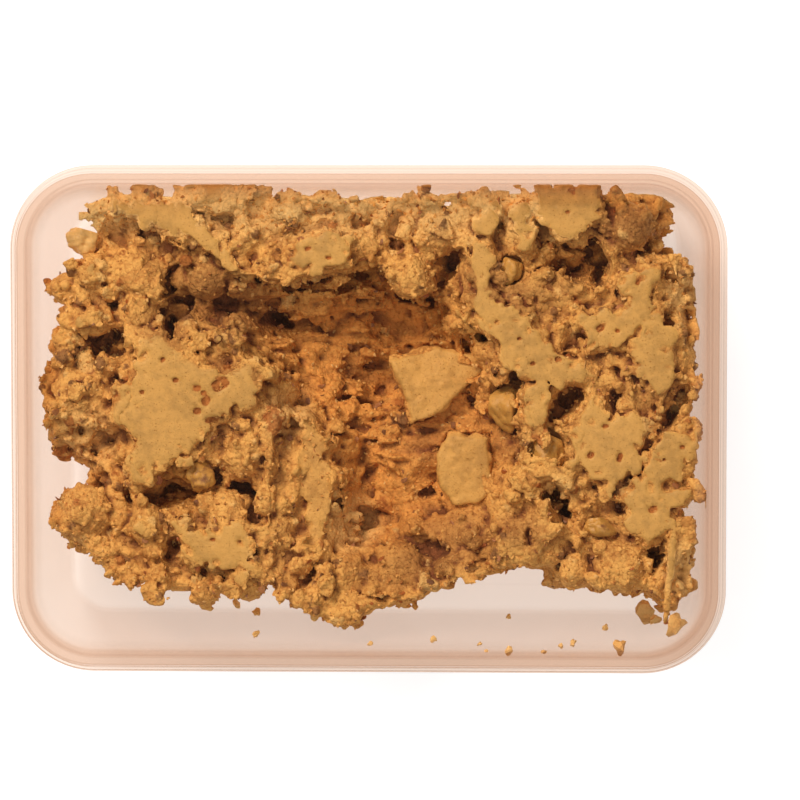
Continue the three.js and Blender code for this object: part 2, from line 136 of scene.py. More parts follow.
HEAP_OUTLINE = [
    (-70, 50), (-62, 54.2), (-50, 55.6), (62, 56), (72, 53), (70.5, 43), (77, 39), (80, 20),
    (80.5, -10), (79.5, -34), (74, -48), (64, -43.5), (46, -41.5), (38.5, -36), (31, -38),
    (20, -44), (4, -48.5), (-13, -50), (-20, -44), (-32, -43.5), (-39, -46.5), (-49, -42.5),
    (-62, -42), (-72, -34), (-78.5, -22.5), (-71, -18), (-64.5, -17.6), (-65.5, -15),
    (-72, -13.6), (-75.5, -9), (-78, -6), (-80, 16), (-78, 32), (-70.5, 39),
]
# The edge of the deep hollow in the middle.
PIT_EDGE = [
    (-36.8, 37.4), (-30.8, 34.5), (-23.5, 32.1), (-16.3, 32.6), (-5.5, 36), (-0.7, 37.9),
    (4.1, 34.8), (10.6, 28.3), (16.1, 31.2), (17.3, 38.9), (22.1, 40.5), (25, 32.9),
    (25.2, 28.8), (26.9, 23.2), (29.8, 21.6), (31.5, 18.9), (31.7, 14.1), (36, 8), (38, 0),
    (37, -10), (34, -22), (31, -38), (20, -43), (4, -48), (-13, -50), (-20, -40), (-20.5, -22),
    (-22, -6), (-27, 8), (-31, 20), (-38, 28),
]
# Heights of its uneven floor at some places: x, y, height.
PIT_FLOOR = [
    (-33, 31, 21), (-24, 27, 16), (-8, 26, 13), (6, 24, 11), (18, 32, 13), (24, 22, 15),
    (-18, 14, 20), (0, 8, 15), (16, 14, 15), (29, 8, 19), (-24, 6, 31), (-18, -6, 29),
    (-14, -20, 32.5), (-17, -34, 32), (-3, -10, 19), (4, -24, 21), (14, -20, 20), (31, -6, 25),
    (29, -18, 28), (36, -20, 33), (24, -31, 31), (7, -38, 30), (-7, -40, 32.5), (16, -30, 26),
]
# Gaps between lumps: x, y, half sizes, turn in degrees and height of the floor.
GAPS = {
    "left hole": (-46.5, 24.5, 6.5, 5.0, 70, 20),
    "left gap": (-65, 19, 7, 3.4, -15, 26),
    "left lower hole": (-64, -5.5, 6, 4.4, 60, 30),
    "front left gap": (-47, -20.5, 13.5, 3.8, -10, 20),
    "front left bend": (-28.5, -22.5, 8.5, 3.6, -50, 23),
    "front left hole": (-46.5, -32.3, 4.4, 2.8, 35, 25),
    "back right hollow": (51, 38.5, 11, 6.4, -38, 19),
    "middle right hole": (48.4, 4.6, 5, 4, -40, 22),
    "right edge gap": (73.4, 2.8, 6.5, 3, 55, 24),
    "front right gap": (45, -20.6, 6, 3.4, -60, 25),
    "right corner gap": (69, -32.4, 5.4, 3.2, 60, 22),
    "under the ridge": (-24, 27, 7, 3.4, -35, 12),
    "under the ridge, left": (-36, 28.5, 5, 3.2, -50, 17),
    "under the ridge, wide": (-40.5, 29.5, 13, 6, -32, 27),
}
# Space under ledges: x, y, z, half sizes and turn in degrees.
UNDERCUTS = {
    "back ledge left": (-31, 36.5, 26, 9, 6, 8, -24),
    "back ledge": (-12, 34.5, 24, 14, 5.5, 9, 5),
    "back ledge right": (10, 31.5, 22, 10, 5, 8, 10),
    "right ledge": (27.5, 26, 26, 5, 11, 9, 0),
    "middle right ledge": (34, 12, 28, 6, 7, 7, 0),
    "back right ledge": (52, 42, 27, 10, 5, 8, -30),
}
# Halva smeared flat on the lid: drop of the smear's face and corners of its outline.
SMEARS = {
    "back strip": (0.0, [
        (-61, 51.4), (-52.2, 52.4), (-47, 50.8), (-42, 48.6), (-38, 46), (-34.8, 43.6), (-32, 39),
        (-30.6, 35.6), (-34, 36.6), (-37, 39), (-42.3, 41.9), (-46, 44.4), (-51.1, 46.2), (-56, 48.2)]),
    "back middle": (0.0, [
        (-18.5, 38), (-17, 42.6), (-12, 44.8), (-7, 45.8), (-1.8, 44.6), (-3.4, 40.2), (-7.5, 37.6),
        (-11, 35.4), (-15, 35.4)]),
    "back right chip": (0.0, [(27.6, 51.8), (30.2, 52), (31, 48), (29.4, 44.4), (27.2, 46)]),
    "back right finger": (0.0, [
        (34.4, 49.6), (37.6, 50.4), (39.4, 45.4), (38.6, 41), (36.8, 39.4), (35.4, 43)]),
    "back oval": (0.0, [
        (40.6, 52), (41.2, 48.8), (44, 46.4), (48, 45.4), (52, 46), (54.4, 48.4), (55.2, 51.4),
        (54.4, 56.2), (41.4, 56.2)]),
    "crescent": (0.0, [
        (27.2, 41.5), (29.3, 41), (30.5, 34.4), (28.9, 31.9), (30.9, 28.6), (34.7, 27.2),
        (39.6, 25.7), (40.5, 22), (41.7, 18.3), (46.3, 15.8), (52.5, 11.7), (50, 9.6), (46.3, 7.9),
        (43.8, 10), (38.8, 10.4), (35.1, 11.7), (31.8, 14.1), (31.4, 19.1), (29.7, 21.6),
        (26.8, 23.2), (25.2, 28.6), (25.2, 37)]),
    "right diagonal": (0.0, [
        (59.9, 32.8), (62, 34.4), (64.9, 36), (67, 37.3), (69.9, 36.5), (70.3, 33.6), (68.6, 30.7),
        (69, 27), (66.1, 23.3), (63.7, 20.4), (61.2, 17.9), (58.7, 17), (55.8, 17.9), (53.7, 17.4),
        (52.5, 20.4), (50.4, 22), (51, 24.4), (56.6, 24.4), (60.7, 25.7), (61.6, 29)]),
    "right lower": (0.0, [(66, 24), (69.5, 27), (72.5, 20), (73, 9), (70.4, 3), (66.4, 8), (63.6, 16)]),
    "left smear": (0.0, [
        (-52.9, 18.1), (-50.9, 18.9), (-45.8, 14.6), (-41.8, 10.8), (-35, 11), (-29.2, 10.6),
        (-27.6, 5.8), (-33, 1.8), (-39, -4.9), (-43, -7.2), (-49.3, -10.4), (-52, -10.8),
        (-53.3, -14), (-55.3, -12.8), (-56.9, -9.6), (-56.9, -4), (-58.1, -2.2), (-61.1, 1),
        (-58.9, 3.4), (-58.1, 5.8), (-55.3, 11), (-54.9, 14.2)]),
    "middle chip": (0.0, [(37.8, 7.4), (42.4, 8.2), (44.2, 5), (42.6, 0.6), (39.4, -1.2), (37.6, 3)]),
    "right chip": (0.0, [
        (52.9, 4.3), (56.2, 4.7), (58.6, 0.6), (65.7, 0.6), (66.4, -5.6), (64.1, -11.8),
        (62.8, -14.7), (58.3, -17.6), (55.8, -15.1), (51.6, -13), (47.9, -11), (50, -6),
        (47.9, -3.1), (50, 0.2)]),
    "right edge": (0.0, [
        (68.2, -4.4), (71.1, -2.7), (75.2, -2.3), (79, -3.5), (79.2, -8.9), (76, -11),
        (75.2, -16), (70.7, -15.5), (66.1, -16), (66.5, -12.6), (67.4, -8.9)]),
    "right front": (0.0, [
        (62, -16.8), (66.1, -16), (75.2, -15.2), (79, -16), (77, -21), (74.4, -22.6),
        (72.3, -26.7), (68.2, -29.6), (64.9, -28.4), (61.6, -25), (62.8, -21.7)]),
    "left front": (0.0, [
        (-47.3, -24.8), (-44.5, -26), (-40.6, -26.8), (-36.6, -27.2), (-32.6, -25.5), (-29, -27.2),
        (-31, -30.3), (-31.8, -33.5), (-35, -35.1), (-39, -33.5), (-43, -33.5), (-45.4, -30.3)]),
    "middle ridge": (7.0, [
        (-15.3, -1.9), (-10.1, -3.2), (-9.5, -9), (-9.5, -18), (-8.8, -24.5), (-12.7, -32.8),
        (-15.9, -30.9), (-16.5, -21.2), (-17.8, -11.6)]),
}
# Crevices between clods: x, y, half sizes, turn in degrees and depth.
CREVICES = [
    (-46, -17, 12, 5, 19, 12), (47, 3, 7, 3.8, 48, 12), (24, 17, 7, 2.6, -62, 8),
    (-16, 51, 10, 2.2, -10, 3), (16, -40, 7, 3.2, 28, 3), (-30, -19, 6, 4.5, -65, 8),
    (69, -32, 6, 2.4, 69, 11), (66, 41, 5.4, 2.8, 51, 7), (47, -36, 7.4, 2.5, 21, 4),
    (-66, 18, 6, 3.5, 43, 9), (43, 44, 6, 5, -69, 8), (20, 37, 4.7, 2.7, 60, 13),
    (-37, -38, 6, 2.9, -6, 4), (47, -21, 7.2, 3, -62, 10), (74, 3, 6.7, 1.7, 63, 10),
    (-8, -20, 5.3, 1.6, 89, 5), (35, -3, 4, 2.2, 5, 9), (-2, 46, 3.3, 2.4, -56, 4),
    (-59, -5, 3.8, 2, -41, 4), (-41, 49, 5.6, 1.4, -8, 3), (-23, 23, 3.8, 2, -36, 12),
    (-48, 21, 3.8, 1.8, -79, 13), (13, -4, 4.7, 1.8, 8, 4), (36, 9, 3.5, 2.1, -75, 9),
    (4, -44, 5, 1.2, 0, 3), (72, 23, 3.5, 2.1, -88, 7), (-59, 10, 3.4, 1.8, 25, 5),
    (-45, 42, 4.9, 1.2, -27, 8), (-73, 7, 2.8, 2.2, -25, 4), (2, 5, 2.9, 2, 35, 4),
    (56, 35, 4, 1.9, 64, 12), (-71, 28, 4, 2.1, -28, 4), (60, 4, 3.9, 1.6, -73, 6),
    (-29, 33, 3.5, 1.8, -13, 14), (61, -16, 5.3, 1.4, 37, 6), (-15, -38, 4.6, 1.8, 63, 5),
    (-47, -31, 2.7, 2, 66, 9), (-67, -11, 5, 1.3, -46, 4), (33, 53, 4.2, 1.6, 24, 3),
    (63, 50, 3.9, 1.3, -52, 6), (72, 35, 3.3, 2.2, -49, 4), (14, -19, 4.4, 1.6, 27, 4),
    (78, 26, 3.2, 1.8, 73, 4), (-63, 3, 2.4, 1.9, 11, 4), (31, 46, 3.2, 1.4, 74, 6),
    (76, -22, 4, 1.2, 51, 4), (-27, -32, 3, 1.4, -8, 5), (-36, 8, 2.6, 1.6, -46, 5),
    (35, 34, 3.8, 1.3, 29, 6), (39, -29, 3.2, 1.7, -80, 6), (75, 14, 3.8, 1.4, 67, 5),
    (-37, 38, 3.2, 1.3, -36, 7), (-54, 45, 2.9, 2.2, 61, 5), (26, -36, 3.5, 1.3, 17, 3),
    (-23, -41, 2.5, 1.5, -31, 4), (-38, -25, 2.5, 1.4, 5, 5), (-70, -2, 3.3, 1.1, 86, 4),
    (-48, 31, 3.4, 1.3, 41, 12), (24, 3, 2.2, 1.4, -66, 4), (9, 16, 2.4, 1.3, 8, 3),
    (60, 11, 2.7, 1.3, -57, 5), (61, -22, 2, 1.5, -88, 5), (-62, 28, 2.3, 1.3, -59, 6),
    (53, 40, 2.3, 1.4, 8, 14), (60, 30, 2.6, 1.2, -66, 4), (6, 42, 2.5, 1.1, -18, 4),
    (-63, 47, 2.6, 1.1, 60, 4), (34, 28, 3, 1, 26, 5), (49, 15, 2.5, 1.1, -18, 5),
    (54, -17, 2, 1.4, -15, 5), (23, 52, 2.3, 1.2, -3, 3), (-12, 33, 6, 1.7, 21, 10),
    (11, 28, 9.6, 1.9, -13, 8),
]
# Clods that stand up round them: x, y, half sizes, turn in degrees and height.
CLODS = [
    (-65, 4, 8, 5, -84, 1.5), (65, 34, 8, 3.4, -20, 1.5), (-31, -9, 7.3, 3.4, 62, 3),
    (11, 32, 5.9, 2.9, -11, 4), (41, 5, 4.2, 2.9, 84, 3), (74, -34, 7.9, 1.5, 77, 2),
    (-58, 33, 5, 2.2, 2, 2), (9, 12, 6.6, 2.4, 35, 2.5), (57, 20, 5.5, 2.8, 45, 1),
    (-21, 35, 6.3, 2, 3, 2), (-29, 22, 4.9, 2.4, -20, 5), (-68, 24, 4.7, 2.1, 30, 3),
    (-40, 19, 5.2, 1.7, 24, 3), (57, -12, 3.4, 2.9, 53, 1.5), (-11, -39, 4.3, 1.8, 59, 2),
    (33, 6, 3.9, 1.8, -48, 2), (-49, 16, 5.9, 1.7, -39, 2), (23, 13, 4, 1.8, -22, 2),
    (38, 43, 2.8, 2.3, 87, 2), (1, -23, 5.2, 1.3, -17, 2), (35, -8, 3.2, 2, -9, 3),
    (-30, -35, 5.5, 1.4, -17, 2), (-26, 12, 5.4, 2, -33, 4), (-44, 37, 3.5, 2.3, -79, 3),
    (59, -32, 3.3, 2.5, -38, 2.5), (-58, 27, 3.8, 1.5, 61, 2), (47, -14, 4.3, 3, -62, 4),
    (-2, 13, 3.8, 1.5, 38, 2), (10, -27, 3.6, 3, 57, 2.5), (-24, -12, 5.6, 2, 74, 3),
    (-39, 11, 5, 1.2, 20, 1), (-10, 3, 4.7, 1.6, -6, 2), (-2, 0, 2.7, 2, -58, 1.5),
    (-52, -26, 3.8, 1.4, -62, 1.5), (-11, -19, 5.9, 1.4, -89, 2), (53, -21, 3, 1.4, 18, 1.5),
    (5, -13, 2.7, 1.7, -36, 1.5), (20, 23, 2.3, 2, -10, 3), (-45, -15, 3.5, 1.6, -11, 4),
    (43, -22, 3.5, 1.2, -31, 2), (-12, -8, 4, 1.2, 71, 2), (37, -16, 2.5, 1.5, -18, 3),
    (-5, -33, 2.8, 1.4, -3, 1.5), (42, 35, 2.3, 1.5, 16, 4), (3, 47, 2.6, 1.6, -14, 1.5),
    (35, 50, 3, 1.1, 66, 1.5), (28, 47, 2.4, 1.1, 75, 1.5), (-19, 7, 2.8, 1, -47, 2),
    (12, 42, 2.2, 1.1, -52, 2), (64, 0, 2.2, 1.6, 35, 2), (63, 7, 2.3, 1.5, 65, 1.5),
    (70, 2, 2.6, 1.1, -80, 2), (57, 9, 2.4, 1.6, 11, 1.5), (-44, -42, 4, 3, 0, 2),
]
# The larger lumps: x, y, radius and drop of each one's top below the lid.
LUMPS = [
    (-57.5, 35, 6.4, 2.6), (-39.4, 34, 6, 5), (-67.4, 24, 5.2, 3.2), (-73.5, 31, 4.4, 4.5),
    (-56, 26, 5.2, 3.2), (-69.5, -24.2, 8, 3.4), (-54, -26, 5.4, 2.2), (-35.3, -23, 6, 2.6),
    (-39.7, -42, 4.4, 5), (-28.8, -40.6, 4.4, 4), (-30.7, -9, 6.6, 4), (-6.3, -40, 8.4, 7),
    (7.4, -38.6, 8.2, 9), (23.9, -30, 8.4, 9), (36.2, -18.6, 5.4, 5.5), (42, -25.4, 5.4, 3.6),
    (60.9, -36, 7, 2.2), (50, -37, 4.6, 5.5), (43, -32.6, 4.6, 4.5), (17, 45, 6.4, 2.4),
    (9.9, 34, 5.8, 1.4), (62, 46, 6.6, 2.4), (74, 14, 5.6, 3), (-72, 6, 5.2, 3),
]
# Holes torn in the smears, down to redder halva: x, y, half sizes and turn in degrees.
TORN_HOLES = [
    (-46.4, 9.3, 0.8, 0.6, 20), (-41.2, 7.4, 0.9, 0.8, 0), (-35.6, 8.4, 2.2, 1.4, 30),
    (-39.1, 4.4, 1.3, 1.0, 60), (-41.2, 1.9, 1.0, 0.8, 10), (-37.6, -0.2, 1.8, 0.7, 8),
    (-39.6, 6.2, 0.7, 0.6, 0), (-49.5, 14.2, 0.7, 0.5, 40), (-54.5, 6.4, 0.6, 0.5, 0),
    (49.0, 54.6, 0.5, 0.8, 30), (47.8, 49.8, 0.6, 0.5, 0), (45.5, 14.6, 0.8, 0.6, 30),
    (36.2, 19.5, 0.6, 0.5, 0), (39.5, 13.5, 0.7, 0.5, 20), (55.6, 22.0, 1.0, 0.7, 30),
    (64.6, 33.0, 0.7, 0.5, 60), (59.8, 21.4, 0.6, 0.5, 0), (75.4, -6.5, 0.7, 0.5, 0),
    (71.0, -9.5, 0.5, 0.4, 0), (68.5, -21.5, 1.2, 0.8, 20), (-37.5, -29.2, 0.7, 0.5, 0),
    (-14.5, 41.0, 0.8, 0.5, 20), (-9.5, 38.8, 0.7, 0.5, 0), (53.5, -8.5, 1.0, 0.7, 40),
    (60.5, -9.0, 1.2, 0.6, 70), (57.0, -1.5, 0.8, 0.5, 10),
]
# A pale strand of halva that hangs off the front right corner: x, y, z and radius.
STRAND = [
    (73.6, -26, 38.2, 1.5), (73.1, -31, 38.8, 1.15), (72.9, -36, 38.9, 1.05),
    (72.2, -41, 38.6, 0.9), (71.9, -45, 38.0, 0.85), (71.6, -48.5, 37.0, 0.6),
]
# Places where the halva is paler, or below 0 darker and redder, the darker ones partly painted
# shade as under the back ridge: x, y, half sizes, turn, amount.
TONES = [
    (-36, 29, 18, 9.5, -28, -0.5), (32, 31, 12, 6, -20, -0.5), (20, -30, 14, 9, 10, -0.4),
    (14, -7, 7, 5, 0, -0.5), (34, -6, 5, 5, 0, -0.4), (-31, 9, 6, 5, 0, -0.4),
    (56, -8, 9, 6, 0, -0.25), (68, 8, 9, 12, 0, -0.25), (-69, -5, 8, 9, 0, 0.4),
    (-20, 1, 6, 6, 0, 0.5), (-4, -27, 7, 7, 0, 0.55), (46, -17, 5, 4, 0, 0.4),
    (75, -36, 5, 7, 0, 0.5), (75, 31, 4, 7, 0, 0.5), (37, -27, 6, 5, 0, -0.4),
    (6, -37, 14, 6, 0, -0.3), (-66, 50, 9, 7, 0, 0.2), (62, 46, 10, 6, 0, -0.6),
    (-50, 22, 7, 6, 0, -0.35), (46, 32, 6, 5, 0, -0.35), (-2, 12, 6, 5, 0, -0.25),
]
# Painted shade in the crevices: reach of the search round a point, share of food there at
# which it starts to darken and is darkest, and how much.
HOLLOWS = ((0.8, 0.54, 0.78, 0.45), (1.8, 0.54, 0.77, 1.0), (5.0, 0.56, 0.76, 0.9))
# Uneven surfaces as layers of noise: strength, size of its hills and seed. The edges of
# the hollow and gaps, the heap's top, the hollow's floor, the edges of the smears, the
# heap's sides, and the billows that break its whole surface into clods.
WANDER = ((0.9, 6, 21), (0.5, 2.4, 22))
TOP_HILLS = ((0.6, 9, 23), (0.6, 4.2, 24))
PIT_HILLS = ((1.5, 6.5, 25), (0.8, 2.8, 26))
RAGGED_EDGE = ((0.55, 3.2, 28), (0.4, 1.4, 29), (0.15, 0.7, 30))
SIDE_HILLS = ((0.9, 4, 31), (0.5, 1.8, 32))
BILLOWS = ((0.9, 5.2, 34), (0.66, 2.5, 38), (0.34, 1.25, 39))
# The space that the heap is worked out in.
HEAP_BLOCK = ((-81.5, -57.5, 0.9), (81.5, 57.5, 40.9))
# How far below the lid the crags between the smears lie on average.
CRAG_DROP = 4.6
# Radii of the stones and crumbs, and the share of each that is always plain halva.
STONE_RADII, PLAIN_STONES = (1.5, 3.4), 0.7
CRUMB_RADII, PLAIN_CRUMBS = (0.55, 1.35), 0.0
# Edges of halva sharper than this, in degrees, keep a crease.
SHARP_HALVA = 55
# Where the heap is parted into its pieces: x of each parting at some y, and their lap.
LAP = 0.8
PARTING_Y = [-58, -38, -20, -10, 0, 10, 14, 22, 28, 42, 58]
PARTINGS = [
    [-52, -50, -50, -58, -60, -57, -58, -61, -58, -52, -50],
    [-23, -22, -24, -27, -26, -27, -31, -33, -36, -36, -30],
    [2, 3, 4, 3, 2, 0, 0, -2, -4, -6, -4],
    [33, 33, 35, 38, 39, 35, 32, 28, 24, 23, 22],
    [56, 55, 52, 50, 50, 54, 56, 55, 52, 58, 56],
]

# ---- lumps and walnuts that are nodes of their own, in mm ----

SLAB = {
    "corners": [(0, 8), (11, 11.6), (22.4, 8.7), (23, 6), (14.6, -1.6), (9.6, -5.8), (5, -7), (2.7, 2)],
    "at": (4.4, 4.6), "bottom": 18.0, "thickness": 9.0, "tilt": (-0.08, 0.1),
}
BLOCK = {
    "corners": [(0, 4), (2.5, 9.5), (12.4, 8.5), (13.8, -5), (10.5, -7.2), (5, -8), (1, -4)],
    "at": (17.2, -13), "bottom": 16.0, "thickness": 14.0, "tilt": (0.05, -0.08),
}
# The slab's and the block's worn edges, the play round them, their grid and their crumbs.
WORN_EDGE = 0.9
SEAT_PLAY = 0.12
LUMP_GRID = 0.4
LUMP_CRUMBS = 130
# Walnuts: middle, radii and turns.
WALNUTS = {
    "walnut_back_left": ((-69.4, 43, 33.8), (5.4, 4.2, 3.4), (0.2, 0.3, -0.4)),
    "walnut_left": ((-40.8, -14.2, 35.4), (4.2, 4.6, 3.2), (0.1, -0.2, 0.4)),
    "walnut_back_right": ((34, 35.6, 35.2), (3.4, 4.4, 3.0), (0.1, 0.1, -0.3)),
    "walnut_middle": ((33, 2.6, 30.4), (4.6, 7.0, 4.4), (0.1, 0.2, 0.2)),
    "walnut_right": ((43, -8.4, 34.6), (4.6, 6.4, 4.0), (0.0, 0.3, 0.1)),
    "walnut_front": ((56, -26.3, 35.6), (5.4, 2.8, 2.6), (0.2, 0.0, -0.2)),
}
# Furrows of a walnut: depth, how many and how fine.
FURROWS = ((0.16, 4, 2.2), (0.07, 8, 4.4), (0.016, 14, 10.0))
# Crumbs that fell in front of the heap: x, y as seen from above, and radius.
FALLEN_CRUMBS = [
    (-5.5, -49.4, 1.6), (-27.2, -52, 0.8), (0.5, -54.1, 0.8), (15.6, -52.9, 1.0),
    (26.9, -54.1, 0.6), (33.9, -47.6, 0.7), (28.6, -55.8, 0.5), (33.9, -55.8, 1.0),
    (42.3, -56, 0.7), (46.4, -54.6, 0.7), (49.3, -53.7, 0.9), (57.2, -50.1, 0.9),
    (-31.7, -44.6, 1.3), (-26.9, -46.7, 1.1), (60.6, -54.6, 2.0), (66.6, -46.2, 2.4),
    (74, -49.3, 2.4), (69, -48, 1.4),
]


# ---- settings ----


class HalvaSizes(bpy.types.PropertyGroup):
    """Sizes of the heap and of what it is made of."""

    grid: FloatProperty(
        name="Grid", description="Finest detail of the heap's mesh", default=0.38 * MM,
        min=0.2 * MM, unit="LENGTH")
    flatness: FloatProperty(
        name="Flatness", description="How freely flat stretches get larger faces",
        default=0.35, min=0, max=1)
    relief: FloatProperty(
        name="Relief", description="Height of the crags between the smears", default=1.9 * MM,
        unit="LENGTH")
    smear_thickness: FloatProperty(
        name="Smear thickness", description="Thickness of the halva smeared on the lid",
        default=1.5 * MM, unit="LENGTH")
    stone_count: IntProperty(
        name="Stones", description="Number of broken bits in the heap's face", default=460)
    crumb_count: IntProperty(
        name="Crumbs", description="Number of small crumbs in the heap's face", default=4200)
    grain_density: FloatProperty(
        name="Grain density", description="Loose grains of halva on a square metre",
        default=170000)
    flake_density: FloatProperty(
        name="Flake density", description="Loose flakes of walnut skin on a square metre",
        default=11000)
    fibre_density: FloatProperty(
        name="Fibre density", description="Fine fibres at the torn edges on a square metre",
        default=300000)
    skin_share: FloatProperty(
        name="Skin share", description="Share of the crumbs that are brown walnut skin",
        default=0.09, subtype="FACTOR", min=0, max=1)
    amber_share: FloatProperty(
        name="Amber share", description="Share of the crumbs that are clear and reddish",
        default=0.05, subtype="FACTOR", min=0, max=1)
    cream_share: FloatProperty(
        name="Cream share", description="Share of the crumbs that are pale walnut",
        default=0.1, subtype="FACTOR", min=0, max=1)


class HalvaColours(bpy.types.PropertyGroup):
    """Colours of the halva, the walnut and the plastic."""

    pressed: FloatVectorProperty(
        name="Pressed", description="Faces smeared on the plastic", subtype="COLOR",
        size=3, default=(0.69, 0.405, 0.108))
    crumb: FloatVectorProperty(
        name="Crumb", description="Broken halva", subtype="COLOR", size=3,
        default=(0.83, 0.472, 0.129))
    oily: FloatVectorProperty(
        name="Oily", description="Darker, oilier halva", subtype="COLOR", size=3,
        default=(0.57, 0.272, 0.068))
    # Painted shade: the darker, redder colour put in the crevices, below ledges and in darker places.
    hollow: FloatVectorProperty(
        name="Hollow", description="Halva in the crevices", subtype="COLOR", size=3,
        default=(0.25, 0.083, 0.026))
    # Painted shade and warm bounce light: the darker, more orange colour low in the hollow.
    deep: FloatVectorProperty(
        name="Deep", description="Halva down in the hollow", subtype="COLOR", size=3,
        default=(0.80, 0.36, 0.080))
    # Pale colour: painted light where it lies along the tub's back, and paler tone at other places and on
    # the fallen crumbs.
    dry: FloatVectorProperty(
        name="Dry", description="Dry, pale halva, as along the tub's back", subtype="COLOR",
        size=3, default=(1.0, 0.69, 0.27))
    cream: FloatVectorProperty(
        name="Cream", description="Inside of a walnut", subtype="COLOR", size=3,
        default=(0.86, 0.55, 0.19))
    skin: FloatVectorProperty(
        name="Skin", description="Walnut skin", subtype="COLOR", size=3,
        default=(0.26, 0.115, 0.042))
    bare_walnut: FloatVectorProperty(
        name="Bare walnut", description="Oily inside of the larger bits of walnut",
        subtype="COLOR", size=3, default=(0.64, 0.345, 0.076))
    amber: FloatVectorProperty(
        name="Amber", description="Clear reddish bits", subtype="COLOR", size=3,
        default=(0.44, 0.14, 0.03))
    plastic: FloatVectorProperty(
        name="Plastic", description="What one face of the clear plastic lets through",
        subtype="COLOR", size=3, default=(0.962, 0.926, 0.898))
    haze: FloatVectorProperty(
        name="Haze", description="Colour of the plastic's surface", subtype="COLOR", size=3,
        default=(0.74, 0.54, 0.43))


class StageSettings(bpy.types.PropertyGroup):
    """Camera and light."""

    distance: FloatProperty(
        name="Distance", description="From the camera to the lid", default=1.0, unit="LENGTH")
    lean_right: FloatProperty(
        name="Lean right", description="How far the camera leans to the right of straight down",
        default=math.radians(2.5), subtype="ANGLE")
    lean_back: FloatProperty(
        name="Lean back", description="How far the camera leans to the tub's back",
        default=math.radians(4.0), subtype="ANGLE")
    key_power: FloatProperty(
        name="Key light", description="Power of the soft light behind the tub", default=16.4,
        unit="POWER")
    fill_power: FloatProperty(
        name="Fill light", description="Power of the soft light above the tub", default=4.8,
        unit="POWER")
    surround: FloatProperty(
        name="Surround", description="Strength of the white surround", default=0.25)
    floor_glow: FloatProperty(
        name="Floor glow", description="Light of its own that the floor gives", default=0.77)


# ---- noise and distances on an even grid, in mm ----


def spread_matrix(coordinates, spacing):
    """Weights that spread values on an even lattice smoothly over the coordinates."""
    along = (coordinates - coordinates[0]) / spacing
    cell = np.floor(along).astype(int)
    t = along - cell
    rows = np.arange(len(coordinates))
    weights = np.zeros((len(coordinates), cell.max() + 4), np.float32)
    for step, weight in enumerate((
        (1 - t) ** 3, 3 * t**3 - 6 * t**2 + 4, -3 * t**3 + 3 * t**2 + 3 * t + 1, t**3,
    )):
        weights[rows, cell + step] = weight / 6
    return weights


def hills(axes, sizes, seed):
    """Smooth noise of unit spread over a grid, with hills of the given sizes."""
    if np.isscalar(sizes):
        sizes = [sizes] * len(axes)
    matrices = [spread_matrix(axis, size) for axis, size in zip(axes, sizes)]
    lattice = [matrix.shape[1] for matrix in matrices]
    values = np.random.default_rng(seed).standard_normal(lattice).astype(np.float32)
    for matrix in matrices:
        values = np.tensordot(values, matrix.T, axes=([0], [0]))
    return values / values.std()


def ease(value, low, high):
    """0 below low, 1 above high and a smooth step between them."""
    t = np.clip((value - low) / (high - low), 0, 1)
    return t * t * (3 - 2 * t)


def polygon_distance(x, y, corners):
    """How far each point lies outside a polygon, below 0 inside it."""
    nearest = np.full(x.shape, 1e6, np.float32)
    inside = np.zeros(x.shape, bool)
    for (ax, ay), (bx, by) in zip(corners, corners[1:] + corners[:1]):
        ex, ey = bx - ax, by - ay
        t = np.clip(((x - ax) * ex + (y - ay) * ey) / (ex * ex + ey * ey), 0, 1)
        nearest = np.minimum(nearest, np.hypot(x - ax - t * ex, y - ay - t * ey))
        if ay != by:
            inside ^= ((ay > y) != (by > y)) & (x < ax + (y - ay) * ex / ey)
    return np.where(inside, -nearest, nearest)


def oval_reach(x, y, middle_x, middle_y, along, across, turn):
    """0 in the middle of a turned ellipse and 1 on its edge."""
    angle = math.radians(turn)
    dx, dy = x - middle_x, y - middle_y
    u = (dx * math.cos(angle) + dy * math.sin(angle)) / along
    v = (dy * math.cos(angle) - dx * math.sin(angle)) / across
    return np.hypot(u, v)


def outline_distance(x, y):
    """How far each point lies outside the tub's rounded outline."""
    qx = np.abs(x) - (HALF_LENGTH - CORNER_RADIUS)
    qy = np.abs(y) - (HALF_WIDTH - CORNER_RADIUS)
    outside = np.hypot(np.maximum(qx, 0), np.maximum(qy, 0))
    return outside + np.minimum(np.maximum(qx, qy), 0) - CORNER_RADIUS


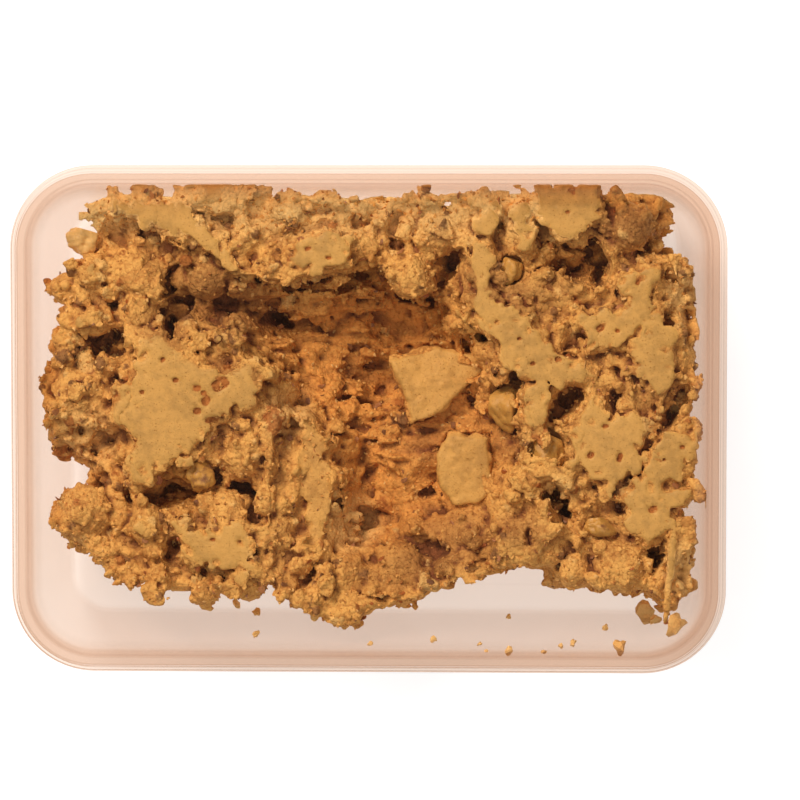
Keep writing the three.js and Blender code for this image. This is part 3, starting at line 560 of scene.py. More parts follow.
class Dough:
    """A block of space on an even grid, and how far each point is outside the food in it.

    Lumps are joined to it and hollows cut from it. Each point also keeps what kind of
    crumb last covered it: 0 halva, 1 walnut skin, 2 amber and 3 cream.
    """

    def __init__(self, low, high, step):
        self.step = step
        self.low = np.array(low, np.float32)
        self.axes = [np.arange(a, b + step, step, dtype=np.float32) for a, b in zip(low, high)]
        self.x, self.y = np.meshgrid(*self.axes[:2], indexing="ij")
        self.z = self.axes[2][None, None, :]
        self.shape = tuple(len(axis) for axis in self.axes)
        self.out = np.full(self.shape, 10, np.float32)
        self.kind = np.zeros(self.shape, np.uint8)

    def noise(self, size, seed):
        """Noise over the whole block."""
        return hills(self.axes, size, seed)

    def flat_noise(self, size, seed):
        """Noise over the block as seen from above."""
        return hills(self.axes[:2], size, seed)

    def uneven(self, base, layers):
        """A flat field with layers of noise on it."""
        for strength, size, seed in layers:
            base = base + strength * self.flat_noise(size, seed)
        return base

    def add_lump(self, centre, radii, turn, kind=0, blend=0.0, cut=False, boxy=False):
        """Joins or cuts one lump, rounded or boxy, turned by a 3 by 3 matrix."""
        reach = max(radii) + 2.5 * self.step
        first = np.maximum(((centre - reach - self.low) / self.step).astype(int), 0)
        last = np.minimum(
            ((centre + reach - self.low) / self.step).astype(int) + 2, self.shape)
        if np.any(last <= first):
            return
        block = tuple(slice(a, b) for a, b in zip(first, last))
        offsets = [axis[part] - c for axis, part, c in zip(self.axes, block, centre)]
        scaled = turn / np.array(radii, np.float32)[:, None]
        square = 0
        for row in scaled:
            along = (
                row[0] * offsets[0][:, None, None] + row[1] * offsets[1][None, :, None]
                + row[2] * offsets[2][None, None, :]) ** 2
            square = square + (along * along if boxy else along)
        reach = np.sqrt(np.sqrt(square)) if boxy else np.sqrt(square)
        away = (reach - 1) * min(radii)
        here = self.out[block]
        if cut:
            self.out[block] = np.maximum(here, -away)
            self.kind[block][away < 0.4] = kind
            return
        self.kind[block][away < np.minimum(here, 0.8 * self.step)] = kind
        if blend:
            mix = np.clip(0.5 + 0.5 * (here - away) / blend, 0, 1)
            self.out[block] = here + (away - here) * mix - blend * mix * (1 - mix)
        else:
            self.out[block] = np.minimum(here, away)

    def surface_cells(self):
        """Indices of the grid points just inside the food's surface."""
        inside = self.out < 0
        open_side = np.zeros_like(inside)
        for axis in range(3):
            for way in (1, -1):
                open_side |= ~np.roll(inside, way, axis)
        return np.argwhere(inside & open_side)

    def blurred_filling(self, reach):
        """Share of food in a box round each point, from 0 to 1."""
        share = (self.out < 0).astype(np.float32)
        width = max(int(reach / self.step), 1)
        for axis in range(3):
            total = np.cumsum(share, axis=axis, dtype=np.float32)
            size = self.shape[axis]
            ahead = np.minimum(np.arange(size) + width, size - 1)
            behind = np.maximum(np.arange(size) - width - 1, 0)
            share = (np.take(total, ahead, axis) - np.take(total, behind, axis)) / (
                2 * width + 1)
        return share

    def sample(self, grid, points):
        """Values of a grid at points between its corners."""
        where = (points - self.low) / self.step
        cell = np.clip(np.floor(where).astype(int), 0, np.array(self.shape) - 2)
        t = np.clip(where - cell, 0, 1)
        total = 0
        for corner in range(8):
            side = np.array([corner & 1, corner >> 1 & 1, corner >> 2 & 1])
            weight = np.prod(np.where(side, t, 1 - t), axis=1)
            total = total + weight * grid[tuple((cell + side).T)]
        return total

    def sample_flat(self, grid, points):
        """Values of a flat grid at points of any height."""
        return self.sample(np.repeat(grid[..., None], self.shape[2], 2), points)

    def surface(self, out, flatness=0.0):
        """Points in mm and faces of the closed surface where out is 0."""
        grid = openvdb.FloatGrid(background=float(3 * self.step))
        grid.copyFromArray(np.ascontiguousarray(out, np.float32))
        points, triangles, quads = grid.convertToPolygons(isovalue=0.0, adaptivity=flatness)
        return points * self.step + self.low, triangles, quads


UNTURNED = np.eye(3, dtype=np.float32)


def turn_matrix(x, y, z):
    """A rotation by three angles as a 3 by 3 matrix."""
    return np.array(Euler((x, y, z)).to_matrix(), np.float32)


def random_turn(random):
    """A rotation by any three angles."""
    return turn_matrix(*random.uniform(0, 2 * math.pi, 3))


# ---- meshes ----


def mesh_object(name, points, faces, scale=MM):
    """A new object from points and faces, at the origin."""
    mesh = bpy.data.meshes.new(name)
    mesh.from_pydata((np.asarray(points) * scale).tolist(), [], faces)
    mesh.validate()
    mesh.update()
    return link(name, mesh)


def link(name, mesh):
    """A new object of a mesh, in the scene."""
    obj = bpy.data.objects.new(name, mesh)
    bpy.context.scene.collection.objects.link(obj)
    return obj


def surface_object(name, points, triangles, quads):
    """An object from a surface's points in mm, built without Python loops."""
    sizes = np.concatenate([np.full(len(triangles), 3), np.full(len(quads), 4)])
    corners = np.concatenate([triangles.ravel(), quads.ravel()]).astype(np.int32)
    mesh = bpy.data.meshes.new(name)
    mesh.vertices.add(len(points))
    mesh.vertices.foreach_set("co", (points * MM).astype(np.float32).ravel())
    mesh.loops.add(len(corners))
    mesh.loops.foreach_set("vertex_index", corners)
    mesh.polygons.add(len(sizes))
    starts = np.concatenate([[0], np.cumsum(sizes)[:-1]]).astype(np.int32)
    mesh.polygons.foreach_set("loop_start", starts)
    mesh.update(calc_edges=True)
    mesh.validate()
    return link(name, mesh)


def set_mask(obj, name, values):
    """Stores one number from 0 to 1 for each point of a mesh."""
    attribute = obj.data.attributes.new(name, "FLOAT", "POINT")
    attribute.data.foreach_set("value", np.clip(values, 0, 1).astype(np.float32))


def finish_piece(obj, material, slot, *nodes, sharp_angle=None):
    """Smooths a piece's shading, paints it, rides it on the body and hides the parts that it replaces."""
    obj.data.shade_smooth()
    if sharp_angle is not None:
        obj.data.set_sharp_from_angle(angle=math.radians(sharp_angle))
    obj.data.materials.clear()
    obj.data.materials.append(material)
    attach(obj, "root")
    if nodes:
        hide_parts(*nodes)
    return obj


# ---- shader nodes ----


def add_node(tree, kind, inputs=None, **settings):
    """Adds a node, sets its settings and sets or links its inputs by name or number."""
    node = tree.nodes.new(kind)
    for name, value in settings.items():
        setattr(node, name, value)
    for key, value in (inputs or {}).items():
        socket = node.inputs[key]
        if isinstance(value, bpy.types.NodeSocket):
            tree.links.new(value, socket)
        elif isinstance(value, (int, float, str)) or len(value) == len(socket.default_value):
            socket.default_value = value
        else:
            socket.default_value = (*value, 1)
    return node


def mix_colours(tree, factor, first, second, blend="MIX"):
    """The first colour at a factor of 0, and mixed with the second up to 1."""
    node = add_node(
        tree, "ShaderNodeMix", {0: factor, 6: first, 7: second}, data_type="RGBA", blend_type=blend)
    return node.outputs[2]


def maths(tree, operation, first, *others, clamp=False):
    """One operation on two values, or on a row of them from the left."""
    for second in others:
        node = add_node(
            tree, "ShaderNodeMath", {0: first, 1: second}, operation=operation, use_clamp=clamp)
        first = node.outputs[0]
    return first


def step_between(tree, value, low, high, start=0.0, end=1.0):
    """A smooth change from start to end, while the value goes from low to high."""
    node = add_node(
        tree, "ShaderNodeMapRange",
        {"Value": value, "From Min": low, "From Max": high, "To Min": start, "To Max": end},
        interpolation_type="SMOOTHSTEP")
    return node.outputs["Result"]


def noise(tree, place, size, detail=2.0, roughness=0.5):
    """Noise with spots of about a size in metres."""
    node = add_node(
        tree, "ShaderNodeTexNoise",
        {"Vector": place, "Scale": 1 / size, "Detail": detail, "Roughness": roughness})
    return node.outputs["Fac"]


def new_group(name, inputs, outputs):
    """A shader node group with named sockets, and its input and output nodes."""
    tree = bpy.data.node_groups.new(name, "ShaderNodeTree")
    kinds = {"Color": "NodeSocketColor", "Float": "NodeSocketFloat", "Vector": "NodeSocketVector"}
    for way, sockets in (("INPUT", inputs), ("OUTPUT", outputs)):
        for socket, kind in sockets.items():
            tree.interface.new_socket(socket, in_out=way, socket_type=kinds[kind])
    return tree, tree.nodes.new("NodeGroupInput"), tree.nodes.new("NodeGroupOutput")


def grain_group():
    """Grains, uneven colour, fine pits and dots, with painted shade between the grains and in the pits,
    which every kind of food here shares.
    """
    name = "food_grain"
    if name in bpy.data.node_groups:
        return bpy.data.node_groups[name]
    tree, given, result = new_group(
        name, {"Place": "Vector", "Size": "Float", "Coarse": "Float", "Color": "Color",
               "Dark": "Color", "Dots": "Float"},
        {"Color": "Color", "Height": "Float"})
    light, dark, coarse = (given.outputs[socket] for socket in ("Color", "Dark", "Coarse"))
    size = add_node(
        tree, "ShaderNodeCombineXYZ", {axis: given.outputs["Size"] for axis in "XYZ"})
    scaled = add_node(
        tree, "ShaderNodeVectorMath", {0: given.outputs["Place"], 1: size.outputs[0]},
        operation="DIVIDE").outputs[0]
    clouds = noise(tree, scaled, 7.0, 2.0, 0.55)
    fine = noise(tree, scaled, 0.35, 1.0, 0.6)
    bend = add_node(
        tree, "ShaderNodeTexNoise",
        {"Vector": scaled, "Scale": 0.6, "Detail": 3.0, "Roughness": 0.6})
    mottle = bend.outputs["Fac"]
    bent = add_node(
        tree, "ShaderNodeVectorMath", {0: bend.outputs["Color"], 1: (1.1, 1.1, 1.1), 2: scaled},
        operation="MULTIPLY_ADD").outputs[0]
    cells = add_node(
        tree, "ShaderNodeTexVoronoi", {"Vector": bent, "Scale": 1.2, "Randomness": 1.0})
    distance = cells.outputs["Distance"]
    tone = add_node(
        tree, "ShaderNodeSeparateColor", {"Color": cells.outputs["Color"]}).outputs["Red"]
    rounded = maths(tree, "SUBTRACT", 1.0, maths(tree, "MULTIPLY", distance, distance, 1.6))
    dots = maths(tree, "MULTIPLY", step_between(tree, fine, 0.66, 0.72), given.outputs["Dots"])

    own_tone = maths(tree, "MULTIPLY", maths(tree, "SUBTRACT", tone, 0.5), coarse, 0.16)
    shade = maths(
        tree, "ADD", maths(tree, "MULTIPLY", clouds, 0.5), maths(tree, "MULTIPLY", mottle, 0.5),
        own_tone)
    colour = mix_colours(tree, step_between(tree, shade, 0.40, 0.68), light, dark)
    # Painted shade in the gaps between the grains.
    gap = maths(tree, "MULTIPLY", step_between(tree, rounded, 0.45, 0.0), coarse, 0.28)
    colour = mix_colours(tree, gap, colour, dark, "MULTIPLY")
    # Dark dots, partly specks and partly painted shade in the fine pits that they sink.
    colour = mix_colours(tree, dots, colour, dark, "MULTIPLY")

    height = maths(
        tree, "ADD", maths(tree, "MULTIPLY", rounded, 0.6, coarse),
        maths(tree, "MULTIPLY", mottle, 0.5), maths(tree, "MULTIPLY", fine, 0.25))
    height = maths(tree, "SUBTRACT", height, maths(tree, "MULTIPLY", dots, 0.3))
    tree.links.new(colour, result.inputs["Color"])
    tree.links.new(height, result.inputs["Height"])
    return tree


def grain(tree, size, coarse, dots, light, dark):
    """The colour and height that the shared grain gives a food, of a size in mm."""
    place = tree.nodes.new("ShaderNodeTexCoord").outputs["Object"]
    inputs = {"Place": place, "Size": size * MM, "Coarse": coarse, "Dots": dots,
              "Color": light, "Dark": dark}
    node = add_node(tree, "ShaderNodeGroup", inputs, node_tree=grain_group())
    return node.outputs["Color"], node.outputs["Height"]


def finish_food(tree, output, colour, roughness, height, depth, strength=1.0, shine=0.35):
    """Ends a food's material with its colour and its fine relief, of a depth in mm."""
    bump = add_node(
        tree, "ShaderNodeBump", {"Strength": strength, "Distance": depth * MM, "Height": height})
    shader = add_node(
        tree, "ShaderNodeBsdfPrincipled",
        {"Base Color": colour, "Roughness": roughness, "Normal": bump.outputs["Normal"],
         "Specular IOR Level": shine})
    tree.links.new(shader.outputs[0], output.inputs["Surface"])


def dimmed(colour, share):
    """A colour with each part of it multiplied by a share."""
    return tuple(share * c for c in colour)


def new_material(name):
    """An empty material with its tree and output node."""
    material = bpy.data.materials.new(name)
    material.use_nodes = True
    tree = material.node_tree
    tree.nodes.clear()
    return material, tree, tree.nodes.new("ShaderNodeOutputMaterial")


def mask(tree, name):
    """What set_mask stored under a name."""
    return add_node(tree, "ShaderNodeAttribute", attribute_name=name).outputs["Fac"]


def halva_material(name, colours):
    """Halva: pale smeared faces, crumbs of several kinds, redder, darker crevices and a more orange
    hollow from painted shade, and painted light along the tub's back.
    """
    material, tree, output = new_material(name)
    light, dark = colours.crumb, colours.oily
    # Each mask with its colour, how much of it comes in, and how bright its darker tone is, which
    # also paints the shade between grains. The colours of the crevices and of the low hollow are
    # painted shade, and the pale one is painted light along the tub's back as well as paler tone.
    for kind, tone, strength, shaded in (
        ("deep", colours.deep, 1.0, 0.72), ("dry", colours.dry, 1.0, 0.78),
        ("hollow", colours.hollow, 1.0, 0.6), ("cream", colours.cream, 0.7, 0.7),
        ("skin", colours.skin, 0.85, 0.7), ("amber", colours.amber, 0.8, 0.7),
        ("pressed", colours.pressed, 1.0, 0.72),
    ):
        amount = maths(tree, "MULTIPLY", mask(tree, kind), strength)
        light = mix_colours(tree, amount, light, tone)
        dark = mix_colours(tree, amount, dark, dimmed(tone, shaded))
    pressed = mask(tree, "pressed")
    coarse = step_between(tree, pressed, 0.0, 1.0, 1.0, 0.2)
    colour, height = grain(tree, 1.2, coarse, 0.7, light, dark)
    rise = step_between(tree, pressed, 0.0, 1.0, 1.0, 0.7)
    roughness = step_between(tree, pressed, 0.0, 1.0, 0.84, 0.5)
    finish_food(
        tree, output, colour, roughness, maths(tree, "MULTIPLY", height, rise), 0.38, shine=0.25)
    return material


def walnut_material(name, colours, skin_share, inside):
    """Walnut: brown wrinkled skin, worn through to the pale oily inside."""
    material, tree, output = new_material(name)
    place = tree.nodes.new("ShaderNodeTexCoord").outputs["Object"]
    bare, height = grain(tree, 1.6, 0.3, 0.4, inside, dimmed(inside, 0.75))
    veins = noise(tree, place, 1.7 * MM, 3.0, 0.6)
    skin = mix_colours(tree, step_between(tree, veins, 0.35, 0.65), colours.skin, inside)
    patches = noise(tree, place, 4.5 * MM, 4.0, 0.6)
    edge = 0.5 - 0.28 * (0.5 - skin_share)
    worn = step_between(tree, patches, edge - 0.04, edge + 0.04)
    roughness = step_between(tree, worn, 0.0, 1.0, 0.55, 0.42)
    finish_food(
        tree, output, mix_colours(tree, worn, skin, bare), roughness, height, 0.4, 0.6, shine=0.4)
    return material


# How many layers of plastic its rim and a face seen edge on look like.
RIM_DEPTH, EDGE_DEPTH = 2.8, 4


def plastic_material(name, colours, haze):
    """Thin clear plastic that tints what is behind it, more so where it is seen edge on."""
    material, tree, output = new_material(name)
    place = tree.nodes.new("ShaderNodeTexCoord").outputs["Object"]
    facing = add_node(tree, "ShaderNodeLayerWeight", {"Blend": 0.35}).outputs["Facing"]
    slant = maths(tree, "POWER", facing, 2.2)
    cloud = noise(tree, place, 16 * MM, 0.0)
    veil = step_between(tree, cloud, 0.3, 0.7, 0.7 * haze, 1.3 * haze)
    cover = maths(tree, "ADD", veil, maths(tree, "MULTIPLY", slant, 0.3), clamp=True)
    thick = tuple(c**RIM_DEPTH for c in colours.plastic)
    edge_on = tuple(c**EDGE_DEPTH for c in colours.plastic)
    # A deeper tint on the rim, partly painted shade towards the tub's ends.
    tint = mix_colours(tree, mask(tree, "rim"), colours.plastic, thick)
    tint = mix_colours(tree, slant, tint, edge_on)
    clear = add_node(tree, "ShaderNodeBsdfTransparent", {"Color": tint})
    film = add_node(
        tree, "ShaderNodeBsdfPrincipled",
        {"Base Color": colours.haze, "Roughness": 0.14, "IOR": 1.49})
    surface = add_node(
        tree, "ShaderNodeMixShader", {0: cover, 1: clear.outputs[0], 2: film.outputs[0]})
    tree.links.new(surface.outputs[0], output.inputs["Surface"])
    return material


# ---- tub and lid ----


def rounded_outline(inset):
    """The tub's outline seen from above, anticlockwise, moved in by an inset."""
    radius = CORNER_RADIUS - inset
    points = []
    for corner in range(4):
        middle_x = (1 if corner in (0, 3) else -1) * (HALF_LENGTH - CORNER_RADIUS)
        middle_y = (1 if corner < 2 else -1) * (HALF_WIDTH - CORNER_RADIUS)
        for step in range(CORNER_STEPS + 1):
            angle = (corner + step / CORNER_STEPS) * math.pi / 2
            points.append((middle_x + radius * math.cos(angle), middle_y + radius * math.sin(angle)))
    return points


def softened(profile, rounds=2):
    """A profile with its corners cut, so that they read as moulded. Its two ends stay."""
    for _ in range(rounds):
        cut = [profile[0]]
        for (ax, az), (bx, bz) in zip(profile, profile[1:]):
            length = math.hypot(bx - ax, bz - az)
            share = min(0.25, 0.5 / length)
            cut += [
                (ax + share * (bx - ax), az + share * (bz - az)),
                (bx + share * (ax - bx), bz + share * (az - bz)),
            ]
        profile = cut + [profile[-1]]
    return profile


def vessel(name, profile):
    """A closed shell that follows the tub's outline, from a profile of its wall."""
    rings = [[(x, y, z) for x, y in rounded_outline(inset)] for inset, z in softened(profile)]
    around = len(rings[0])
    points = [point for ring in rings for point in ring]
    faces = []
    for ring in range(len(rings) - 1):
        for i in range(around):
            a, b = ring * around + i, ring * around + (i + 1) % around
            faces.append((a, b, b + around, a + around))
    faces.append(tuple(range(around))[::-1])
    last = (len(rings) - 1) * around
    faces.append(tuple(range(last, last + around)))
    obj = mesh_object(name, points, faces)
    places = np.array(points)
    insets = -outline_distance(places[:, 0], places[:, 1])
    # The rim's deeper tint: partly its thicker plastic, partly painted shade that grows towards the tub's
    # ends, most at the right.
    along = places[:, 0] / HALF_LENGTH
    thickness = 0.28 + 0.62 * np.abs(along) + 0.1 * along
    in_rim = (1 - ease(insets, 5.0, 6.5)) * ease(places[:, 2], RIM_BOTTOM, RIM_TOP)
    set_mask(obj, "rim", thickness * in_rim)
    return obj


class HALVA_OT_build_tub(bpy.types.Operator):
    """Build the clear tub and its lid"""

    bl_idname = "halva.build_tub"
    bl_label = "Tub and lid"

    def execute(self, context):
        colours = context.scene.halva_colours
        for node, profile, haze in (("tub", TUB_PROFILE, 0.012), ("lid", LID_PROFILE, 0.003)):
            obj = vessel(node + "_clear", profile)
            material = plastic_material(node + "_plastic", colours, haze)
            finish_piece(obj, material, "clear_plastic", node, sharp_angle=60)
        return {"FINISHED"}


# ---- the heap ----


def pit_floor(x, y):
    """Height of the hollow's uneven floor, smooth between the given places."""
    total, weights = 0, 0
    for px, py, height in PIT_FLOOR:
        weight = 1 / (((x - px) ** 2 + (y - py) ** 2) ** 1.6 + 20)
        total = total + weight * height
        weights = weights + weight
    return total / weights


def heap_surface(dough, relief):
    """Height of the heap's top, the most it may rise, and how far each smear on the lid is."""
    x, y = dough.x, dough.y
    top = LID_UNDERSIDE
    wander = dough.uneven(0, WANDER)
    height = top - CRAG_DROP + relief * dough.uneven(0, TOP_HILLS)
    rise = ease(polygon_distance(x, y, PIT_EDGE) + 0.7 * wander, -1.6, 1.2)
    floor = dough.uneven(pit_floor(x, y), PIT_HILLS)
    # The hollow is steep at its back and right, and slopes gently at its left and front.
    steep = ease(x + 0.35 * y, -40, -5) * ease(y, -34, -2)
    gentle = ease(polygon_distance(x, y, PIT_EDGE) + wander, -11, 2)
    rise = rise * steep + gentle * (1 - steep)
    height = floor + (height - floor) * rise
    # The heap rises towards the tub's back wall.
    height += 2.2 * ease(y, 47, 53)
    for *oval, low in GAPS.values():
        opening = ease(oval_reach(x, y, *oval) + 0.13 * wander, 0.65, 1.05)
        bottom = low + 1.4 * dough.flat_noise(3.5, 27)
        height = np.minimum(height, bottom + (top - bottom) * opening)
    ragged = dough.uneven(0, RAGGED_EDGE)
    smears = []
    nearest = np.full(x.shape, 99, np.float32)
    for drop, corners in SMEARS.values():
        away = polygon_distance(x, y, corners) + ragged
        falling = 1.8 * np.maximum(away + 0.5, 0)
        height = np.maximum(height, top - drop + 0.5 + 0.7 * ease(-away, 0.5, 4) - falling)
        if drop == 0:
            smears.append(away)
            nearest = np.minimum(nearest, away)
        else:
            low_face = top - drop + 0.3 * dough.flat_noise(5, 46) + 12 * ease(away, -0.6, 2.5)
    for *oval, lift in CLODS:
        reach = oval_reach(x, y, *oval) + 0.12 * ragged
        height += lift * (1 - ease(reach, 0.3, 1.25))
    for *oval, depth in CREVICES:
        reach = oval_reach(x, y, *oval) + 0.16 * ragged
        height -= 0.8 * depth * (1 - ease(reach, 0.35, 1.1))
        nearest = np.maximum(nearest, 1.2 - 2.5 * reach)
    # Only the smears reach the lid: beside them the heap stays a little below it.
    ceiling = top + 0.3 - (1.1 + 0.5 * dough.flat_noise(2.6, 45)) * ease(nearest, -0.6, 2.0)
    ceiling = np.minimum(ceiling, low_face)
    dough.near_smear = nearest
    dough.low_face = low_face
    return height, ceiling, smears


def shape_heap(context):
    """The whole heap as a block of dough, with its surface broken into crumbs."""
    sizes = context.scene.halva_sizes
    step = sizes.grid / MM
    dough = Dough(*HEAP_BLOCK, step)
    top = LID_UNDERSIDE
    height, ceiling, smears = heap_surface(dough, sizes.relief / MM)

    # Heights over the surface are turned into distances from it, also on its slopes.
    slope_x, slope_y = np.gradient(height, step)
    steepness = np.sqrt(1 + np.minimum(slope_x**2 + slope_y**2, 9))
    out = (dough.z - height[..., None]) / steepness[..., None]
    side = dough.uneven(polygon_distance(dough.x, dough.y, HEAP_OUTLINE), SIDE_HILLS)
    dents = 2.6 + 1.5 * dough.noise(8, 33)
    dough.out = np.maximum(out, side[..., None] + dents * (1 - ease(dough.z, 34, 39)))
    for x, y, z, along, across, up, turn in UNDERCUTS.values():
        matrix = turn_matrix(0, 0, -math.radians(turn))
        dough.add_lump(np.array((x, y, z)), (along, across, up), matrix, cut=True)
    # The billows are softer low down, and the walls get torn pockets.
    calm = 0.65 + 0.35 * ease(dough.z, 24, 36)
    for depth, size, seed in BILLOWS:
        dough.out -= depth * calm * (np.abs(dough.noise(size, seed)) - 0.8)
    dough.room = room_distance(dough)
    pockets = 2.6 * ease(dough.noise(6, 47) + 0.5 * dough.noise(2.2, 48), 0.0, 1.3)
    dough.out = np.maximum(dough.out, dough.room + pockets * (1 - ease(dough.z, 34, 38)))

    random = np.random.default_rng(35)
    for x, y, radius, drop in LUMPS:
        radii = radius * random.uniform((0.9, 0.75, 0.7), (1.1, 1.0, 0.95))
        centre = np.array((x, y, top - drop - 0.9 * radius * 0.82))
        dough.add_lump(centre, radii, random_turn(random), blend=1.2)
    crumble(dough, sizes, random)
    # Fibrous layers low down, and fine roughness all over.
    dough.out += 0.42 * dough.noise((5.0, 1.0, 1.4), 37) * (1 - ease(dough.z, 26, 34))
    dough.out += 0.12 * dough.noise(1.0, 36)
    dough.out = np.maximum(dough.out, dough.z - ceiling[..., None])

    thickness = sizes.smear_thickness / MM
    for away in smears:
        layer = np.maximum(dough.z - top, top - thickness - dough.z)
        dough.out = np.minimum(dough.out, np.maximum(layer, away[..., None] + 0.5))
    poke_smears(dough, smears, random)
    for (ax, ay, az, ar), (bx, by, bz, br) in zip(STRAND, STRAND[1:]):
        for t in np.linspace(0, 1, 8):
            centre = np.array((ax, ay, az)) * (1 - t) + np.array((bx, by, bz)) * t
            radius = ar + (br - ar) * t
            dough.add_lump(centre + random.normal(0, 0.12, 3), [radius] * 3, UNTURNED)
    dough.out = np.maximum(dough.out, dough.room)
    return dough


def room_distance(dough):
    """How far each point lies outside the space in the tub."""
    inset = np.interp(dough.axes[2], ROOM_HEIGHTS, ROOM_INSETS)
    wall = outline_distance(dough.x, dough.y)[..., None] + inset
    lid_and_floor = np.maximum(dough.z - LID_UNDERSIDE + 0.03, FLOOR_TOP + 0.05 - dough.z)
    return np.maximum(wall.astype(np.float32), lid_and_floor)


def crumble(dough, sizes, random):
    """Breaks the surface into stones and crumbs of halva and walnut."""
    shares = [sizes.skin_share, sizes.amber_share, sizes.cream_share]
    chances = [1 - sum(shares), *shares]
    for count, (low, high), plain in (
        (sizes.stone_count, STONE_RADII, PLAIN_STONES), (sizes.crumb_count, CRUMB_RADII, PLAIN_CRUMBS),
    ):
        # None of them lies on the tub's floor, and fewer lie low down.
        cells = dough.surface_cells()
        cells = cells[cells[:, 2] > 4]
        heights = dough.low[2] + cells[:, 2] * dough.step
        weight = np.where(heights > 32, 1.0, 0.45)
        picked = random.choice(len(cells), size=count, p=weight / weight.sum())
        centres = dough.low + cells[picked] * dough.step + random.uniform(-0.3, 0.3, (count, 3))
        radii = low + (high - low) * random.uniform(0, 1, (count, 1)) ** 2
        radii = radii * random.uniform((0.8, 0.6, 0.5), (1.2, 1.0, 0.9), (count, 3))
        chosen = random.choice([0, 1, 2, 3], size=count, p=chances)
        chosen[random.uniform(size=count) < plain] = 0
        for number, (centre, size, kind) in enumerate(zip(centres, radii, chosen)):
            boxy = kind > 0 or number % 3 == 0
            dough.add_lump(centre, size, random_turn(random), kind, blend=0.15, boxy=boxy)


def poke_smears(dough, smears, random):
    """Small pits and torn holes in the smears, more of them near their edges."""
    for away in smears:
        inside = np.argwhere((away < 0.3) & (away > -5 * random.uniform(0, 1, away.shape) ** 2))
        for i, j in inside[random.choice(len(inside), size=max(len(inside) // 26, 4))]:
            edge = 1 - min(max(-away[i, j] / 3, 0), 1)
            centre = np.array((dough.axes[0][i], dough.axes[1][j], LID_UNDERSIDE + 0.1))
            radius = 0.35 + 0.7 * random.uniform() ** 2
            radii = radius * random.uniform((0.8, 0.6, 0.5), (2.2, 1.0, 0.7 + 0.8 * edge))
            dough.add_lump(centre, radii, turn_matrix(0, 0, random.uniform(0, 6)), cut=True)
    for x, y, along, across, turn in TORN_HOLES:
        matrix = turn_matrix(0, 0, -math.radians(turn))
        centre = np.array((x, y, LID_UNDERSIDE + 0.2))
        dough.add_lump(centre, (along, across, 1.1), matrix, 2, cut=True, boxy=True)


def heap_parts(dough):
    """The heap in pieces. Each laps a little way over the next, which is thinner there."""
    wander = 0.8 * dough.noise(3, 41)
    sides = [
        dough.x[..., None] - np.interp(dough.y, PARTING_Y, xs)[..., None] + wander for xs in PARTINGS
    ]
    for number in range(len(sides) + 1):
        out = dough.out
        if number > 0:
            before = sides[number - 1]
            out = np.maximum(out + 0.12 * (1 - ease(before, 0.8, 2.5)), -before)
        if number < len(sides):
            out = np.maximum(out, sides[number] - LAP)
        yield f"halva_{number + 1}", out


def hollow_share(dough):
    """How far each point lies in a crevice, from 0 to 1, which sets the shade painted there."""
    share = np.zeros(dough.shape, np.float32)
    for reach, low, high, strength in HOLLOWS:
        share = np.maximum(share, strength * ease(dough.blurred_filling(reach), low, high))
    return share


def paint_masks(obj, dough, points, hollows):
    """Stores what each point of the heap is, pressed, skin, amber or cream, its paler and darker places,
    and where shade and light are painted: shade in the crevices and low in the hollow, light along the
    tub's back.
    """
    touching = dough.sample(dough.room, points)
    low_face = dough.sample_flat(dough.low_face, points)
    worn = 0.6 * (1 - ease(np.abs(points[:, 2] - low_face), 0.5, 1.1))
    set_mask(obj, "pressed", np.maximum(ease(touching, -0.45, -0.15), worn))
    tone = uneven_tone(points)
    crevice = dough.sample(hollows, points)
    # Painted shade in the crevices, less where the halva is paler, with the darker places added.
    set_mask(obj, "hollow", crevice * (1 - 0.6 * np.clip(tone, 0, 1)) + np.maximum(-tone, 0))
    # Paler tone, and painted light along the tub's back.
    set_mask(obj, "dry", tone)
    # Painted shade and warm bounce light, more the lower a point lies and the further inside the heap's
    # edge.
    inside = -polygon_distance(points[:, 0], points[:, 1], HEAP_OUTLINE)
    set_mask(obj, "deep", (1 - ease(points[:, 2], 19, 38.5)) * (0.45 + 0.55 * ease(inside, 1, 5)))
    paint_kinds(obj, dough, points)


def uneven_tone(points):
    """How much paler, or below 0 darker, the halva is at each point, with painted light along the tub's
    back.
    """
    x, y = points[:, 0], points[:, 1]
    # Painted light: paler along the tub's back, short of its right end.
    tone = 0.95 * ease(y, 40, 52) * (1 - ease(x, 42, 58))
    for *oval, amount in TONES:
        tone = tone + amount * (1 - ease(oval_reach(x, y, *oval), 0.4, 1.3))
    return tone


def paint_kinds(obj, dough, points):
    """Stores which points are on a crumb of walnut skin, amber or cream."""
    cells = np.rint((points - dough.low) / dough.step).astype(int)
    nearest = np.clip(cells, 0, np.array(dough.shape) - 1)
    kind = dough.kind[tuple(nearest.T)]
    for number, name in ((1, "skin"), (2, "amber"), (3, "cream")):
        set_mask(obj, name, kind == number)


def largest_body(points, triangles, quads):
    """Drops loose scraps from a surface and keeps its largest body."""
    parent = np.arange(len(points))
    edges = np.concatenate([
        quads[:, [0, 1]], quads[:, [1, 2]], quads[:, [2, 3]],
        triangles[:, [0, 1]], triangles[:, [1, 2]]]).astype(np.int64)
    while True:
        low = np.minimum(parent[edges[:, 0]], parent[edges[:, 1]])
        before = parent.copy()
        np.minimum.at(parent, edges[:, 0], low)
        np.minimum.at(parent, edges[:, 1], low)
        parent = parent[parent]
        if np.array_equal(before, parent):
            break
    labels, counts = np.unique(parent, return_counts=True)
    keep = parent == labels[counts.argmax()]
    number = np.cumsum(keep) - 1
    return (
        points[keep],
        number[triangles[keep[triangles[:, 0]]]] if len(triangles) else triangles,
        number[quads[keep[quads[:, 0]]]] if len(quads) else quads,
    )


def food_object(name, dough, out, flatness=0.0):
    """An object of the closed surface where out is 0, and the surface's points."""
    points, triangles, quads = largest_body(*dough.surface(out, flatness))
    return surface_object(name, points, triangles, quads), points


